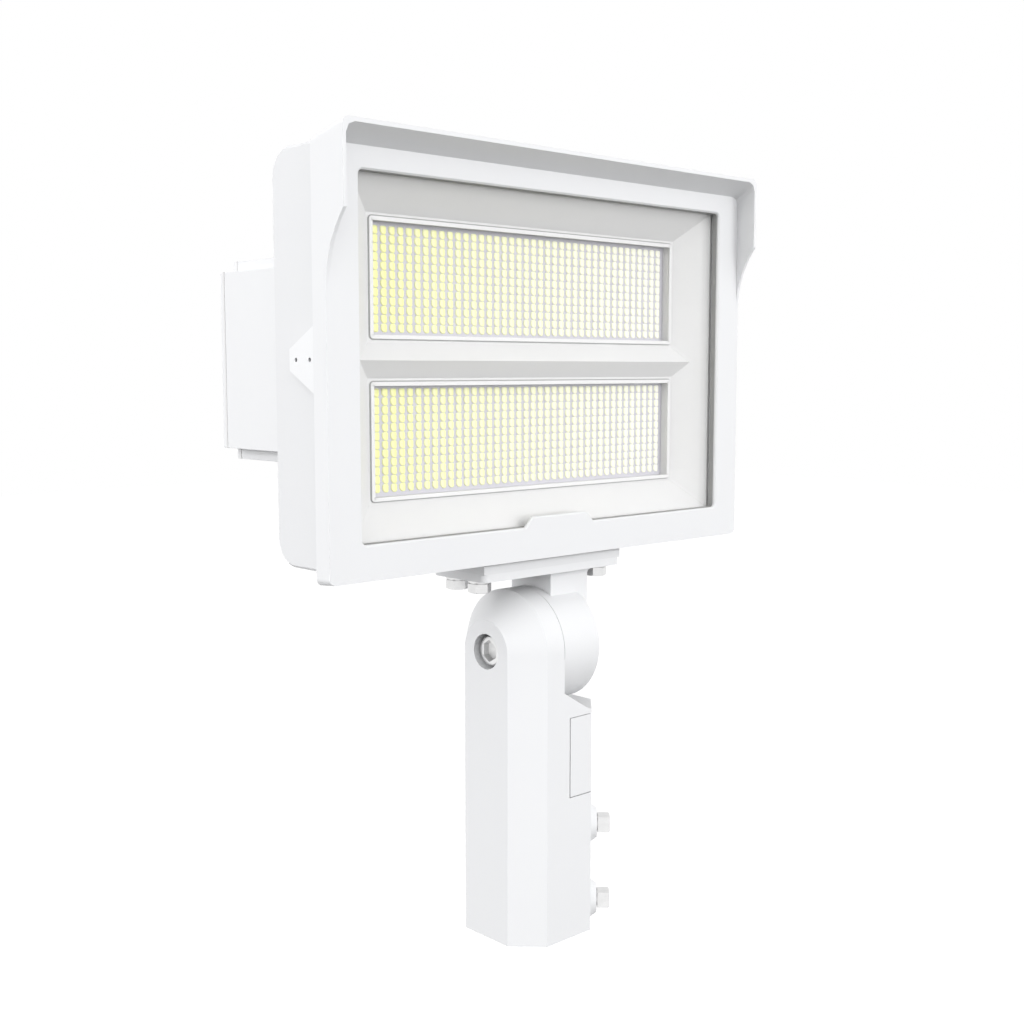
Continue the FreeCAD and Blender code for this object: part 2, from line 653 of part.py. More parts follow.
def make_pivot():
    """Pivot bolt with a hexagon socket, its washer and its nut."""
    seat = -arm_half_x + d.counterbore_depth
    washer_left = d.barrel_right - d.nut_bore_depth + d.turn_gap
    nut_left = washer_left + d.pivot_washer_thickness
    bolt_end = nut_left + d.nut_height

    bolt = new_body("pivot_bolt", *pivot_place)
    head = sketch_on(bolt, "head_outline", "YZ_Plane", at=seat)
    circle(head, 0, 0, d.pivot_head)
    knob = pad(bolt, head, "head", d.pivot_head_height, -1)
    outer = seat - d.pivot_head_height
    dress(bolt, "Chamfer", knob, "head_edge", d.pivot_head / 18, lambda edge: lies_at(edge, "X", outer))
    shank = sketch_on(bolt, "shank_outline", "YZ_Plane", at=seat)
    bar(shank, 0, 0, d.pivot_size)
    pad(bolt, shank, "shank", bolt_end - seat)
    hexagon = sketch_on(bolt, "socket_outline", "YZ_Plane", at=outer)
    regular(hexagon, 0, 0, d.pivot_socket, 6)
    pocket(bolt, hexagon, "socket", d.pivot_head_height / 2)

    washer = new_body("pivot_washer", *pivot_place)
    ring = sketch_on(washer, "washer_outline", "YZ_Plane", at=washer_left)
    bar(ring, 0, 0, d.pivot_washer_width)
    bar(ring, 0, 0, d.pivot_size + d.screw_gap * 2)
    pad(washer, ring, "washer", d.pivot_washer_thickness)

    nut = new_body("pivot_nut", *pivot_place)
    hexagon = sketch_on(nut, "nut_outline", "YZ_Plane", at=nut_left)
    regular(hexagon, 0, 0, d.nut_flats, 6)
    bar(hexagon, 0, 0, d.pivot_size + d.screw_gap * 2)
    pad(nut, hexagon, "nut", d.nut_height)


def make_bracket():
    """Knuckle bracket: a barrel beside the ear, a neck and the flange under the housing."""
    body = new_body("knuckle_bracket", *pivot_place)
    left = d.turn_gap - d.ear_offset
    profile = sketch_on(body, "barrel_profile", "XZ_Plane")
    polygon(profile, [
        (left, 0), (d.barrel_right, 0), (d.barrel_right, arm_half_y - d.barrel_bevel),
        (d.barrel_right - d.barrel_bevel, arm_half_y), (left, arm_half_y),
    ])
    turned(body, "Revolution", profile, "barrel")
    neck = sketch_on(body, "neck_outline", "XY_Plane")
    rectangle(neck, d.neck_left, d.neck_right, -d.neck_depth / 2, d.neck_depth / 2)
    pad(body, neck, "neck", d.flange_height + 1)
    plate = sketch_on(body, "flange_outline", "XY_Plane", at=d.flange_height)
    centred(plate, d.flange_width, d.flange_depth)
    flange = pad(body, plate, "flange", d.flange_thickness)
    corner_x = d.flange_width.value / 2 - 1

    def flange_corner(edge):
        return runs_along(edge, "z") and abs(edge.BoundBox.XMin) > corner_x

    rounded = dress(body, "Fillet", flange, "flange_corners", d.flange_corner, flange_corner)

    def neck_root(edge):
        box = edge.BoundBox
        across = abs(box.Center.y) < d.neck_depth.value / 2 + 0.1
        along = box.XMin > d.neck_left.value - 0.1 and box.XMax < d.neck_right.value + 0.1
        return lies_at(edge, "Z", d.flange_height) and across and along

    dress(body, "Fillet", rounded, "neck_fillet", d.neck_fillet, neck_root)
    bolts = sketch_on(body, "bolt_hole_outline", "XY_Plane", at=d.flange_height)
    for x, y in flange_bolt_places:
        bar(bolts, x, y, d.flange_bolt + d.bolt_gap * 2)
    pocket(body, bolts, "bolt_holes", d.flange_thickness)
    pivot = sketch_on(body, "pivot_outline", "YZ_Plane", at=left)
    circle(pivot, 0, 0, d.pivot_size + d.turn_gap * 2)
    pocket(body, pivot, "pivot_hole", d.barrel_right - left)
    recess = sketch_on(body, "nut_recess_outline", "YZ_Plane", at=d.barrel_right)
    circle(recess, 0, 0, d.nut_bore)
    pocket(body, recess, "nut_recess", d.nut_bore_depth, -1)
    wires = sketch_on(body, "wire_bore_outline", "XY_Plane", at=-arm_half_y)
    circle(wires, d.wire_bore_right, -d.wire_bore_front, d.wire_bore)
    pocket(body, wires, "wire_bore_cut", arm_half_y + d.flange_height + d.flange_thickness)


def make_flange_hardware():
    """Gasket, bolts and washers between the bracket's flange and the housing's pedestal."""
    seal = new_body("flange_gasket", *flange_place)
    sheet_outline = sketch_on(seal, "seal_outline", "XY_Plane", at=d.flange_thickness)
    centred(sheet_outline, d.flange_seal_width, flange_seal_depth)
    circle(sheet_outline, d.wire_bore_right, -d.wire_bore_front, d.wire_bore)
    pad(seal, sheet_outline, "seal", d.flange_seal)

    washers = new_body("flange_washers", *flange_place)
    rings = sketch_on(washers, "washer_outline", "XY_Plane")
    for x, y in flange_bolt_places:
        bar(rings, x, y, d.flange_washer)
        bar(rings, x, y, d.flange_bolt + d.bolt_gap * 2)
    pad(washers, rings, "washers", d.flange_washer_thickness, -1)

    grip = d.flange_washer_thickness + d.flange_thickness
    fasteners(
        "flange_bolts", "XY_Plane", -d.flange_washer_thickness, -1, flange_bolt_places,
        d.flange_bolt_flats, d.flange_bolt_head, d.flange_bolt, grip, flange_place,
        flats=6,
    )


def hollow(sk, half, low, high):
    """The visor's hollow: square below, with eased corners under the hood."""
    turn = d.hood_corner
    ease = turn * (1 - HALF_ROOT)
    polygon(sk, [
        (-half, low), (half, low), (half, high - turn), (half - ease, high - ease), (half - turn, high),
        (-half + turn, high), (-half + ease, high - ease), (-half, high - turn),
    ])


def make_bezel():
    """Bezel casting with its tapered visor, lens rabbet, lower tab and screw bosses."""
    body = new_body("bezel_frame", *head_place)
    back = sketch_on(body, "back_outline", "XZ_Plane", at=d.bezel_depth)
    rectangle(back, -d.bezel_width / 2, d.bezel_width / 2, -d.bezel_bottom, d.bezel_top)
    tip = sketch_on(body, "tip_outline", "XZ_Plane", at=-d.visor_reach)
    rectangle(tip, -d.visor_width / 2, d.visor_width / 2, -d.visor_bottom, d.visor_top)
    block = loft(body, "Additive", "tapered_block", back, tip)

    def tapered_edge(edge):
        return edge.BoundBox.YLength > d.bezel_depth.value

    dress(body, "Fillet", block, "corners", d.bezel_corner, tapered_edge)

    below = d.bezel_bottom + 5
    share = d.bezel_depth / (d.bezel_depth + d.visor_reach)
    face_half = d.bezel_width / 2 - (d.bezel_width - d.visor_width) / 2 * share
    root = sketch_on(body, "hood_root_outline", "XZ_Plane")
    hollow(root, face_half - d.wing_wall, -below, d.hood_root)
    mouth = sketch_on(body, "hood_mouth_outline", "XZ_Plane", at=-d.visor_reach)
    mouth_half = d.visor_width / 2 - d.wing_wall
    hollow(mouth, mouth_half, -below, d.visor_top - d.hood_tip)
    loft(body, "Subtractive", "visor_hollow", root, mouth)

    wing = sketch_on(body, "wing_profile", "YZ_Plane")
    ahead = d.visor_reach + 5
    span = d.wing_straight - d.wing_end
    radius = (d.visor_reach * d.visor_reach + span * span) / (d.visor_reach * 2)
    middle = FreeCAD.Vector(-radius.value, d.wing_end.value, 0)
    sweep = math.atan2(span.value, radius.value - d.visor_reach.value)
    run_out = Part.Circle(middle, FreeCAD.Vector(0, 0, 1), radius.value)
    corners = [
        (0, d.wing_end), (0, -below), (-ahead, -below), (-ahead, d.wing_straight),
        (-d.visor_reach, d.wing_straight),
    ]
    for start, end in zip(corners, corners[1:]):
        wing.addGeometry(Part.LineSegment(flat(*start), flat(*end)), False)
    curve = wing.addGeometry(Part.ArcOfCircle(run_out, 0, sweep), False)
    for index in range(3):
        wing.addConstraint(Sketcher.Constraint("Coincident", index, 2, index + 1, 1))
    for index, (y, z) in enumerate(corners[:4]):
        pin_point(wing, index, 1, y, z)
    pin_point(wing, 3, 2, *corners[4])
    wing.addConstraint(Sketcher.Constraint("Coincident", 3, 2, curve, 2))
    wing.addConstraint(Sketcher.Constraint("Tangent", curve, 1, 0, 1))
    pocket_both(body, wing, "wing_cut")

    window = sketch_on(body, "window_outline", "XZ_Plane")
    half_x = d.window_width / 2
    half_z = d.window_height / 2
    polygon(window, [
        (-half_x, -half_z), (-d.tab_base / 2, -half_z), (-d.tab_end / 2, -half_z + d.tab_rise),
        (d.tab_end / 2, -half_z + d.tab_rise), (d.tab_base / 2, -half_z), (half_x, -half_z),
        (half_x, half_z), (-half_x, half_z),
    ])
    opening = pocket(body, window, "window")

    def window_corner(edge):
        at_side = abs(abs(edge.BoundBox.Center.x) - half_x.value) < 0.01
        return runs_along(edge, "y") and at_side and edge.BoundBox.Center.y > 0

    rounded = dress(body, "Fillet", opening, "window_corners", d.window_corner, window_corner)

    def window_edge(edge):
        box = edge.BoundBox
        across = box.XMax < half_x.value + 0.1 and box.XMin > -half_x.value - 0.1
        along = box.ZMax < half_z.value + 0.1 and box.ZMin > -half_z.value - 0.1
        return lies_at(edge, "Y", 0) and across and along

    dress(body, "Chamfer", rounded, "window_edges", d.window_bevel, window_edge)
    rabbet = sketch_on(body, "rabbet_outline", "XZ_Plane", at=d.bezel_depth)
    centred(
        rabbet, d.window_width + (d.glass_lap_side + d.glass_gap) * 2,
        d.window_height + (d.glass_lap_top + d.glass_gap) * 2,
    )
    pocket(body, rabbet, "rabbet", d.bezel_depth - d.lip, FORWARD)
    bosses = sketch_on(body, "boss_outline", "XZ_Plane", at=d.bezel_depth)
    for x, z in bezel_screw_places:
        square(bosses, x, z, d.bezel_boss)
    pad(body, bosses, "bosses", d.floor_front - d.bezel_depth, BACKWARD)


def make_lens():
    """Lens glass in the bezel's rabbet and the dark gasket in front of it."""
    glass_width = d.window_width + d.glass_lap_side * 2
    glass_height = d.window_height + d.glass_lap_top * 2
    seal = new_body("lens_gasket", *head_place)
    ring = sketch_on(seal, "seal_outline", "XZ_Plane", at=d.lip)
    centred(ring, glass_width, glass_height)
    centred(ring, d.window_width - d.lens_seal_shrink * 2, d.window_height - d.lens_seal_shrink * 2)
    pad(seal, ring, "seal", d.lens_seal, BACKWARD)
    glass = new_body("lens_glass", *head_place)
    pane = sketch_on(glass, "glass_outline", "XZ_Plane", at=glass_front)
    centred(pane, glass_width, glass_height)
    pad(glass, pane, "glass_pane", d.glass, BACKWARD)


def make_reflector():
    """Reflector tray: sloped walls, a ridge across the middle and a window for each board."""
    body = new_body("reflector", *head_place)
    mouth_x = d.window_width / 2
    mouth_z = d.window_height / 2
    throat_x = d.throat_width / 2
    depth = throat_depth - glass_back
    ridge_depth = throat_depth - d.divider_height
    share = (ridge_depth - glass_back) / depth
    ridge_x = mouth_x - (mouth_x - throat_x) * share
    ridge_z = mouth_z - (mouth_z - d.throat_top) * share
    wall = d.reflector_wall * 2

    front = sketch_on(body, "outer_mouth_outline", "XZ_Plane", at=glass_back)
    centred(front, d.window_width + wall, d.window_height + wall)
    back = sketch_on(body, "outer_throat_outline", "XZ_Plane", at=board_front)
    centred(back, d.throat_width + wall, d.throat_top * 2 + wall)
    loft(body, "Additive", "outer_shell", front, back)
    rim = sketch_on(body, "rim_outline", "XZ_Plane", at=glass_back)
    centred(rim, d.window_width + d.glass_lap_side * 2, d.window_height + d.glass_lap_top * 2)
    pad(body, rim, "rim", d.reflector_rim, BACKWARD)

    wide = sketch_on(body, "mouth_outline", "XZ_Plane", at=glass_back)
    centred(wide, d.window_width, d.window_height)
    middle = sketch_on(body, "ridge_level_outline", "XZ_Plane", at=ridge_depth)
    centred(middle, ridge_x * 2, ridge_z * 2)
    loft(body, "Subtractive", "mouth_cut", wide, middle)
    for name, side in (("upper", 1), ("lower", -1)):
        top = sketch_on(body, f"{name}_ridge_outline", "XZ_Plane", at=ridge_depth)
        rectangle(top, -ridge_x, ridge_x, 0, ridge_z * side)
        low = sketch_on(body, f"{name}_throat_outline", "XZ_Plane", at=throat_depth)
        rectangle(low, -throat_x, throat_x, d.throat_low * side, d.throat_top * side)
        loft(body, "Subtractive", f"{name}_cut", top, low)
        gap = sketch_on(body, f"{name}_window_outline", "XZ_Plane", at=throat_depth)
        near = (d.throat_low + d.throat_ledge) * side
        far = (d.throat_top - d.throat_ledge) * side
        rectangle(gap, -throat_x + d.throat_ledge, throat_x - d.throat_ledge, near, far)
        pocket(body, gap, f"{name}_window", d.reflector_floor * 2)


def make_boards():
    """Upper and lower LED boards on the housing floor and the screws that hold them."""
    for label, side in (("led_board_upper", 1), ("led_board_lower", -1)):
        body = new_body(label, *head_place)
        outline = sketch_on(body, "board_outline", "XZ_Plane", at=board_front)
        rectangle(outline, -d.board_width / 2, d.board_width / 2, d.board_low * side, d.board_high * side)
        pad(body, outline, "board", d.board, BACKWARD)
    fasteners(
        "led_board_screws", "XZ_Plane", board_front, FORWARD, board_screw_places, d.board_screw_head,
        d.board_screw_height, d.board_screw, d.board, head_place,
    )


def cut_slots(body, back, front):
    """Air slots between the fins, above and below the driver compartment."""
    far = d.tray_height / 2 + 1
    slot = sketch_on(body, "slot_outline", "XZ_Plane", at=back)
    middle = -slot_pitch * ((d.slot_count - 1) / 2)
    low = middle - slot_width / 2
    high = middle + slot_width / 2
    rectangle(slot, low, high, box_half_z, far)
    rectangle(slot, low, high, -far, -box_half_z)
    cut = pocket(body, slot, "slot", back - front, FORWARD)
    doc.recompute()
    fins = body.newObject("PartDesign::LinearPattern", "slots")
    fins.Originals = [cut]
    fins.Direction = (origin_part(body, "X_Axis"), [""])
    bind(fins, "Length", slot_pitch * (d.slot_count - 1))
    bind(fins, "Occurrences", d.slot_count)
    body.Tip = fins


def hollow_compartment(body, back, front):
    """The driver compartment's hollow, with a pillar for a screw in each of its corners."""
    inside = sketch_on(body, "compartment_outline", "XZ_Plane", at=back)
    centred(inside, box_inner_x * 2, box_inner_z * 2)
    pocket(body, inside, "compartment", back - front, FORWARD)
    pillars = sketch_on(body, "pillar_outline", "XZ_Plane", at=back)
    for x, z in box_screw_places:
        square(pillars, x, z, d.box_boss)
    pad(body, pillars, "pillars", back - front, FORWARD)


def make_housing():
    """Housing casting: lens tray, cooling fins, front of the driver compartment, side pads and pedestal."""
    body = new_body("housing", *head_place)
    half_z = d.tray_height / 2
    side = sketch_on(body, "tray_profile", "YZ_Plane")
    rectangle(side, tray_front, d.tray_back, -half_z, half_z)
    block = pad_both(body, side, "tray_block", d.tray_width)

    def back_edge(edge):
        return runs_along(edge, "x") and abs(edge.BoundBox.Center.y - d.tray_back.value) < 0.01

    rounded = dress(body, "Fillet", block, "back_edges", d.back_radius, back_edge)

    def side_edge(edge):
        at_side = lies_at(edge, "X", d.tray_width / 2) or lies_at(edge, "X", -d.tray_width / 2)
        return at_side and edge.BoundBox.YMax > tray_front.value + 1

    dress(body, "Chamfer", rounded, "side_edges", d.side_bevel, side_edge)

    cut_slots(body, d.tray_back, floor_back)
    outer = sketch_on(body, "outer_slot_outline", "XZ_Plane", at=d.tray_back)
    rectangle(outer, box_half_x, tray_inner_x, -box_half_z - 1, box_half_z + 1)
    rectangle(outer, -tray_inner_x, -box_half_x, -box_half_z - 1, box_half_z + 1)
    pocket(body, outer, "outer_slots", d.tray_back - floor_back, FORWARD)

    cavity = sketch_on(body, "cavity_outline", "XZ_Plane", at=tray_front)
    centred(cavity, tray_inner_x * 2, tray_inner_z * 2)
    pocket(body, cavity, "cavity", d.floor_front - tray_front)
    hollow_compartment(body, d.tray_back, floor_back)

    holes = sketch_on(body, "floor_hole_outline", "XZ_Plane", at=d.floor_front)
    for x, z in bezel_screw_places:
        bar(holes, x, z, d.bezel_screw + d.screw_gap * 2)
    bar(holes, d.grommet_right, 0, d.grommet_groove)
    pocket(body, holes, "floor_holes", d.floor)

    plinth_front = d.face_forward - d.flange_depth / 2
    plinth_back = d.face_forward + d.flange_depth / 2
    plinth = sketch_on(body, "pedestal_outline", "XY_Plane", at=-d.pedestal_drop)
    rectangle(plinth, -d.flange_width / 2, d.flange_width / 2, plinth_front, plinth_back)
    pad(body, plinth, "pedestal", d.pedestal_drop - d.bezel_bottom - d.glass_gap)
    neck = sketch_on(body, "pedestal_neck_outline", "XY_Plane", at=-d.pedestal_drop)
    rectangle(neck, -d.flange_width / 2, d.flange_width / 2, tray_front, plinth_back)
    pad(body, neck, "pedestal_neck", d.pedestal_drop - tray_inner_z)
    recess = sketch_on(body, "seal_recess_outline", "XY_Plane", at=-d.pedestal_drop)
    half_width = d.flange_seal_width / 2 + d.screw_gap
    half_depth = flange_seal_depth / 2 + d.screw_gap
    rectangle(recess, -half_width, half_width, d.face_forward - half_depth, d.face_forward + half_depth)
    pocket(body, recess, "seal_recess", d.flange_seal)
    wires = sketch_on(body, "pedestal_wire_outline", "XY_Plane", at=-d.pedestal_drop)
    circle(wires, d.wire_bore_right, d.face_forward - d.wire_bore_front, d.wire_bore)
    pocket(body, wires, "pedestal_wire_hole", d.pedestal_drop - tray_inner_z + 1)

    for name, way in (("right", 1), ("left", -1)):
        face = sketch_on(body, f"{name}_pad_outline", "YZ_Plane", at=(d.tray_width / 2 - 1) * way)
        polygon(face, [
            (tray_front, -d.pad_front_height / 2), (tray_front + d.pad_length, -d.pad_back_height / 2),
            (tray_front + d.pad_length, d.pad_back_height / 2), (tray_front, d.pad_front_height / 2),
        ])
        pad(body, face, f"{name}_pad", d.pad_out + 1, way)
        pad_face = (d.tray_width / 2 + d.pad_out) * way
        holes = sketch_on(body, f"{name}_pad_hole_outline", "YZ_Plane", at=pad_face)
        for step in (0, 1):
            circle(holes, tray_front + d.pad_hole_first + d.pad_hole_pitch * step, 0, d.pad_hole)
        pocket(body, holes, f"{name}_pad_holes", d.pad_hole_depth, -way)


def make_driver_box():
    """Driver box behind the housing: flared into the fins, with end pads and corner pillars."""
    body = new_body("driver_box", *head_place)
    depth = d.box_back - d.tray_back
    flared = box_half_z + d.flare
    side = sketch_on(body, "box_profile", "YZ_Plane")
    polygon(side, [
        (d.tray_back, -flared), (d.tray_back + d.flare, -box_half_z), (d.box_back, -box_half_z),
        (d.box_back, box_half_z), (d.tray_back + d.flare, box_half_z), (d.tray_back, flared),
    ])
    pad_both(body, side, "box_block", d.box_width)
    pads = sketch_on(body, "end_pad_outline", "XZ_Plane", at=d.box_back)
    centred(pads, pad_half_x * 2, d.end_pad_height)
    pad(body, pads, "end_pads", depth, FORWARD)
    cut_slots(body, d.tray_back + d.flare, d.tray_back)
    hollow_compartment(body, d.box_back, d.tray_back)
    holes = sketch_on(body, "screw_hole_outline", "XZ_Plane", at=d.box_back)
    for x, z in box_screw_places:
        bar(holes, x, z, d.box_screw + d.screw_gap * 2)
    pocket(body, holes, "screw_holes", depth, FORWARD)


def make_housing_hardware():
    """Bezel gasket and screws, wire grommet, driver, surge protector and driver cover."""
    seal = new_body("bezel_gasket", *head_place)
    ring = sketch_on(seal, "seal_outline", "XZ_Plane", at=d.bezel_depth)
    inner_width = tray_inner_x * 2 + d.glass_gap
    inner_height = tray_inner_z * 2 + d.glass_gap
    centred(ring, inner_width + d.tray_seal_width * 2, inner_height + d.tray_seal_width * 2)
    centred(ring, inner_width, inner_height)
    pad(seal, ring, "seal", d.tray_seal, BACKWARD)
    fasteners(
        "bezel_screws", "XZ_Plane", floor_back, BACKWARD, bezel_screw_places, d.bezel_screw_head,
        d.bezel_screw_height, d.bezel_screw, d.floor, head_place,
    )

    grommet = new_body("wire_grommet", d.grommet_right, -d.face_forward, head_height)
    for name, start, length, width in (
        ("front_flange", d.floor_front - d.grommet_lip, d.grommet_lip, d.grommet_flange),
        ("groove", d.floor_front, d.floor, d.grommet_groove),
        ("rear_flange", floor_back, d.grommet_lip, d.grommet_flange),
    ):
        outline = sketch_on(grommet, f"{name}_outline", "XZ_Plane", at=start)
        bar(outline, 0, 0, width)
        bar(outline, 0, 0, d.grommet_bore)
        pad(grommet, outline, name, length, BACKWARD)

    driver = new_body("driver_unit", -d.driver_left, -d.face_forward, head_height)
    case = sketch_on(driver, "case_outline", "XZ_Plane", at=floor_back)
    centred(case, d.driver_length, d.driver_width)
    potted = pad(driver, case, "case", d.driver_height, BACKWARD)
    dress(driver, "Chamfer", potted, "case_edges", d.driver_ear_thickness, lambda edge: runs_along(edge, "y"))
    ears = sketch_on(driver, "ear_outline", "XZ_Plane", at=floor_back)
    centred(ears, d.driver_length + d.driver_ear * 2, d.driver_ear_width)
    pad(driver, ears, "ears", d.driver_ear_thickness, BACKWARD)
    slots = sketch_on(driver, "ear_hole_outline", "XZ_Plane", at=floor_back)
    for way in (-1, 1):
        bar(slots, driver_screw_x * way, 0, d.box_screw + d.screw_gap * 2)
    pocket(driver, slots, "ear_holes", d.driver_ear_thickness)
    fasteners(
        "driver_unit_screws", "XZ_Plane", floor_back + d.driver_ear_thickness, BACKWARD, driver_screw_places,
        d.box_screw_head, d.driver_screw_height, d.box_screw,
        d.driver_ear_thickness, head_place,
    )

    surge = new_body("surge_protector", *head_place)
    block = sketch_on(surge, "surge_outline", "XZ_Plane", at=floor_back)
    rectangle(block, d.surge_left, d.surge_left + d.surge_length, d.surge_low, d.surge_low + d.surge_width)
    moulded = pad(surge, block, "surge_block", d.surge_height, BACKWARD)
    dress(surge, "Fillet", moulded, "surge_edges", d.surge_height / 10, lambda edge: runs_along(edge, "y"))

    cover_front = d.box_back + d.cover_plate_seal
    seal = new_body("driver_gasket", *head_place)
    ring = sketch_on(seal, "seal_outline", "XZ_Plane", at=d.box_back)
    centred(ring, box_half_x * 2 - d.screw_gap * 2, d.box_height - d.screw_gap * 2)
    centred(ring, box_inner_x * 2, box_inner_z * 2)
    pad(seal, ring, "seal", d.cover_plate_seal, BACKWARD)

    cover = new_body("driver_cover", *head_place)
    plate = sketch_on(cover, "plate_outline", "XZ_Plane", at=cover_front)
    half = d.end_pad_height / 2
    polygon(plate, [
        (-box_half_x, -box_half_z), (box_half_x, -box_half_z), (box_half_x, -half), (pad_half_x, -half),
        (pad_half_x, half), (box_half_x, half), (box_half_x, box_half_z), (-box_half_x, box_half_z),
        (-box_half_x, half), (-pad_half_x, half), (-pad_half_x, -half), (-box_half_x, -half),
    ])
    lid = pad(cover, plate, "plate", d.cover_plate, BACKWARD)
    rear = cover_front + d.cover_plate
    dress(cover, "Chamfer", lid, "rear_edge", d.cover_plate_bevel, lambda edge: lies_at(edge, "Y", rear))
    holes = sketch_on(cover, "screw_hole_outline", "XZ_Plane", at=cover_front)
    for x, z in box_screw_places:
        bar(holes, x, z, d.box_screw + d.screw_gap * 2)
    pocket(cover, holes, "screw_holes", d.cover_plate * 2)
    grip = d.cover_plate + d.cover_plate_seal + d.box_back - d.tray_back
    fasteners(
        "driver_cover_screws", "XZ_Plane", rear, BACKWARD, box_screw_places, d.box_screw_head,
        d.box_screw_height, d.box_screw, grip, head_place,
    )


make_arm()
make_wiring_cover()
make_set_screw("set_screw_upper", d.set_upper_height)
make_set_screw("set_screw_lower", d.set_lower_height)
make_pivot()
make_bracket()
make_flange_hardware()
make_bezel()
make_lens()
make_reflector()
make_boards()
make_housing()
make_driver_box()
make_housing_hardware()
doc.recompute()

for item in doc.Objects:
    for word in ("Invalid", "Error"):
        if word in item.State:
            raise RuntimeError(f"{item.Name} is {item.State}")
os.makedirs("parts", exist_ok=True)
for body in bodies:
    if body.Shape.isNull() or not body.Shape.isValid():
        raise RuntimeError(f"{body.Label} has no sound shape")
    body.Shape.exportStep(f"parts/{body.Label}.step")
    print(body.Label, len(body.Shape.Solids), round(body.Shape.Volume), body.Shape.BoundBox)
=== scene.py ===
import math

import bmesh
import bpy
from mathutils import Matrix, Vector


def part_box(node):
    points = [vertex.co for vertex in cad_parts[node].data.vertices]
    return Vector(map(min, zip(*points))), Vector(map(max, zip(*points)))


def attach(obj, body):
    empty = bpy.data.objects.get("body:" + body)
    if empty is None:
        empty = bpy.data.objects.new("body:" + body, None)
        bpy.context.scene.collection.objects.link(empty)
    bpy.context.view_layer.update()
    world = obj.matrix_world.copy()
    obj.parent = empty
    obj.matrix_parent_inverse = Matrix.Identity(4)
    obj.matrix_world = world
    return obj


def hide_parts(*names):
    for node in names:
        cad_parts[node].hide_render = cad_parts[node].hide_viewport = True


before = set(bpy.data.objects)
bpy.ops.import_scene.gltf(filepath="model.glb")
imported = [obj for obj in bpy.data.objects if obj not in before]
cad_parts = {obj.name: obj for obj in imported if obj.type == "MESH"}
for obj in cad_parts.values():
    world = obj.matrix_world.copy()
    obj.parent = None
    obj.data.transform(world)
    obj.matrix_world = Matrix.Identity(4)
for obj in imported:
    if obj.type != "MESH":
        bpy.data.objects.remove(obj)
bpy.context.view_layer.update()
scene = bpy.context.scene
scene.view_settings.view_transform = "Standard"
scene.cycles.diffuse_bounces = 1

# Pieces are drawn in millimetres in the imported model's frame, and become metres when they are finished.
MM = 0.001
UP = Vector((0, 0, 1))
DOWN = -UP
FORWARD = Vector((0, -1, 0))
BACK = -FORWARD
LEFT = Vector((-1, 0, 0))
RIGHT = -LEFT
TURN = 2 * math.pi


# Camera

CAMERA_PLACE = Vector((-0.6005, -0.6283, 0.3698))
CAMERA_AZIMUTH = math.radians(-42.98)
CAMERA_PITCH = math.radians(6.08)
CAMERA_LENS = 47.06
CAMERA_REACH = 60.0
SENSOR_WIDTH = 36.0


def aim(thing, direction):
    """Turns a camera or lamp so that it looks along a direction."""
    thing.rotation_euler = direction.to_track_quat("-Z", "Y").to_euler()


def set_camera():
    """Sets the camera at the photograph's place and pitch, with its lens."""
    data = bpy.data.cameras.new("photo_camera")
    data.lens = CAMERA_LENS
    data.sensor_width = SENSOR_WIDTH
    data.clip_end = CAMERA_REACH
    camera = bpy.data.objects.new("photo_camera", data)
    scene.collection.objects.link(camera)
    camera.location = CAMERA_PLACE
    level = math.cos(CAMERA_PITCH)
    aim(camera, Vector((
        -math.sin(CAMERA_AZIMUTH) * level,
        math.cos(CAMERA_AZIMUTH) * level,
        -math.sin(CAMERA_PITCH),
    )))
    scene.camera = camera


set_camera()


# Shader nodes

def feed(tree, socket, term):
    """Gives a socket a plain value, or links it to another node's output."""
    if isinstance(term, bpy.types.NodeSocket):
        tree.links.new(term, socket)
    else:
        socket.default_value = term


def add(tree, kind, terms=(), **settings):
    """A shader node with its settings, and with values or links for its named sockets."""
    node = tree.nodes.new("ShaderNode" + kind)
    for key, value in settings.items():
        setattr(node, key, value)
    for key, term in dict(terms).items():
        feed(tree, node.inputs[key], term)
    return node


def sums(tree, operation, *terms):
    """The output of a Math node fed by sockets or plain numbers."""
    node = add(tree, "Math", operation=operation)
    for socket, term in zip(node.inputs, terms):
        feed(tree, socket, term)
    return node.outputs[0]


def blend_tones(tree, share, one, other):
    """A colour between two others; each is a socket or a plain colour."""
    node = add(tree, "Mix", data_type="RGBA")
    sockets = [s for s in node.inputs if s.enabled]
    for socket, term in zip(sockets, (share, one, other)):
        feed(tree, socket, term)
    return [s for s in node.outputs if s.enabled][0]


def blend_shaders(tree, share, one, other):
    """A shader between two others."""
    node = add(tree, "MixShader")
    for socket, term in zip(node.inputs, (share, one.outputs[0], other.outputs[0])):
        feed(tree, socket, term)
    return node.outputs[0]


def object_place(tree):
    """The place on a piece, in metres."""
    return add(tree, "TexCoord").outputs["Object"]


def split_axes(tree, place):
    """The X, Y and Z of a place."""
    return add(tree, "SeparateXYZ", {"Vector": place}).outputs


def grain(tree, place, scale, detail=2.0, roughness=0.5):
    """A noise value over the surface; its scale counts the grains in a metre."""
    terms = {"Vector": place, "Scale": scale, "Detail": detail, "Roughness": roughness}
    return add(tree, "TexNoise", terms).outputs["Fac"]


def spread(tree, value, low, high):
    """A value from 0 to 1 brought between two limits."""
    return add(tree, "MapRange", {"Value": value, "To Min": low, "To Max": high}).outputs["Result"]


def new_group(name, inputs, outputs):
    """A shader node group with named sockets; returns its tree, its inputs and its outputs."""
    tree = bpy.data.node_groups.new(name, "ShaderNodeTree")
    for direction, sockets in (("INPUT", inputs), ("OUTPUT", outputs)):
        for key, kind in sockets:
            tree.interface.new_socket(key, in_out=direction, socket_type="NodeSocket" + kind)
    return tree, tree.nodes.new("NodeGroupInput").outputs, tree.nodes.new("NodeGroupOutput").inputs


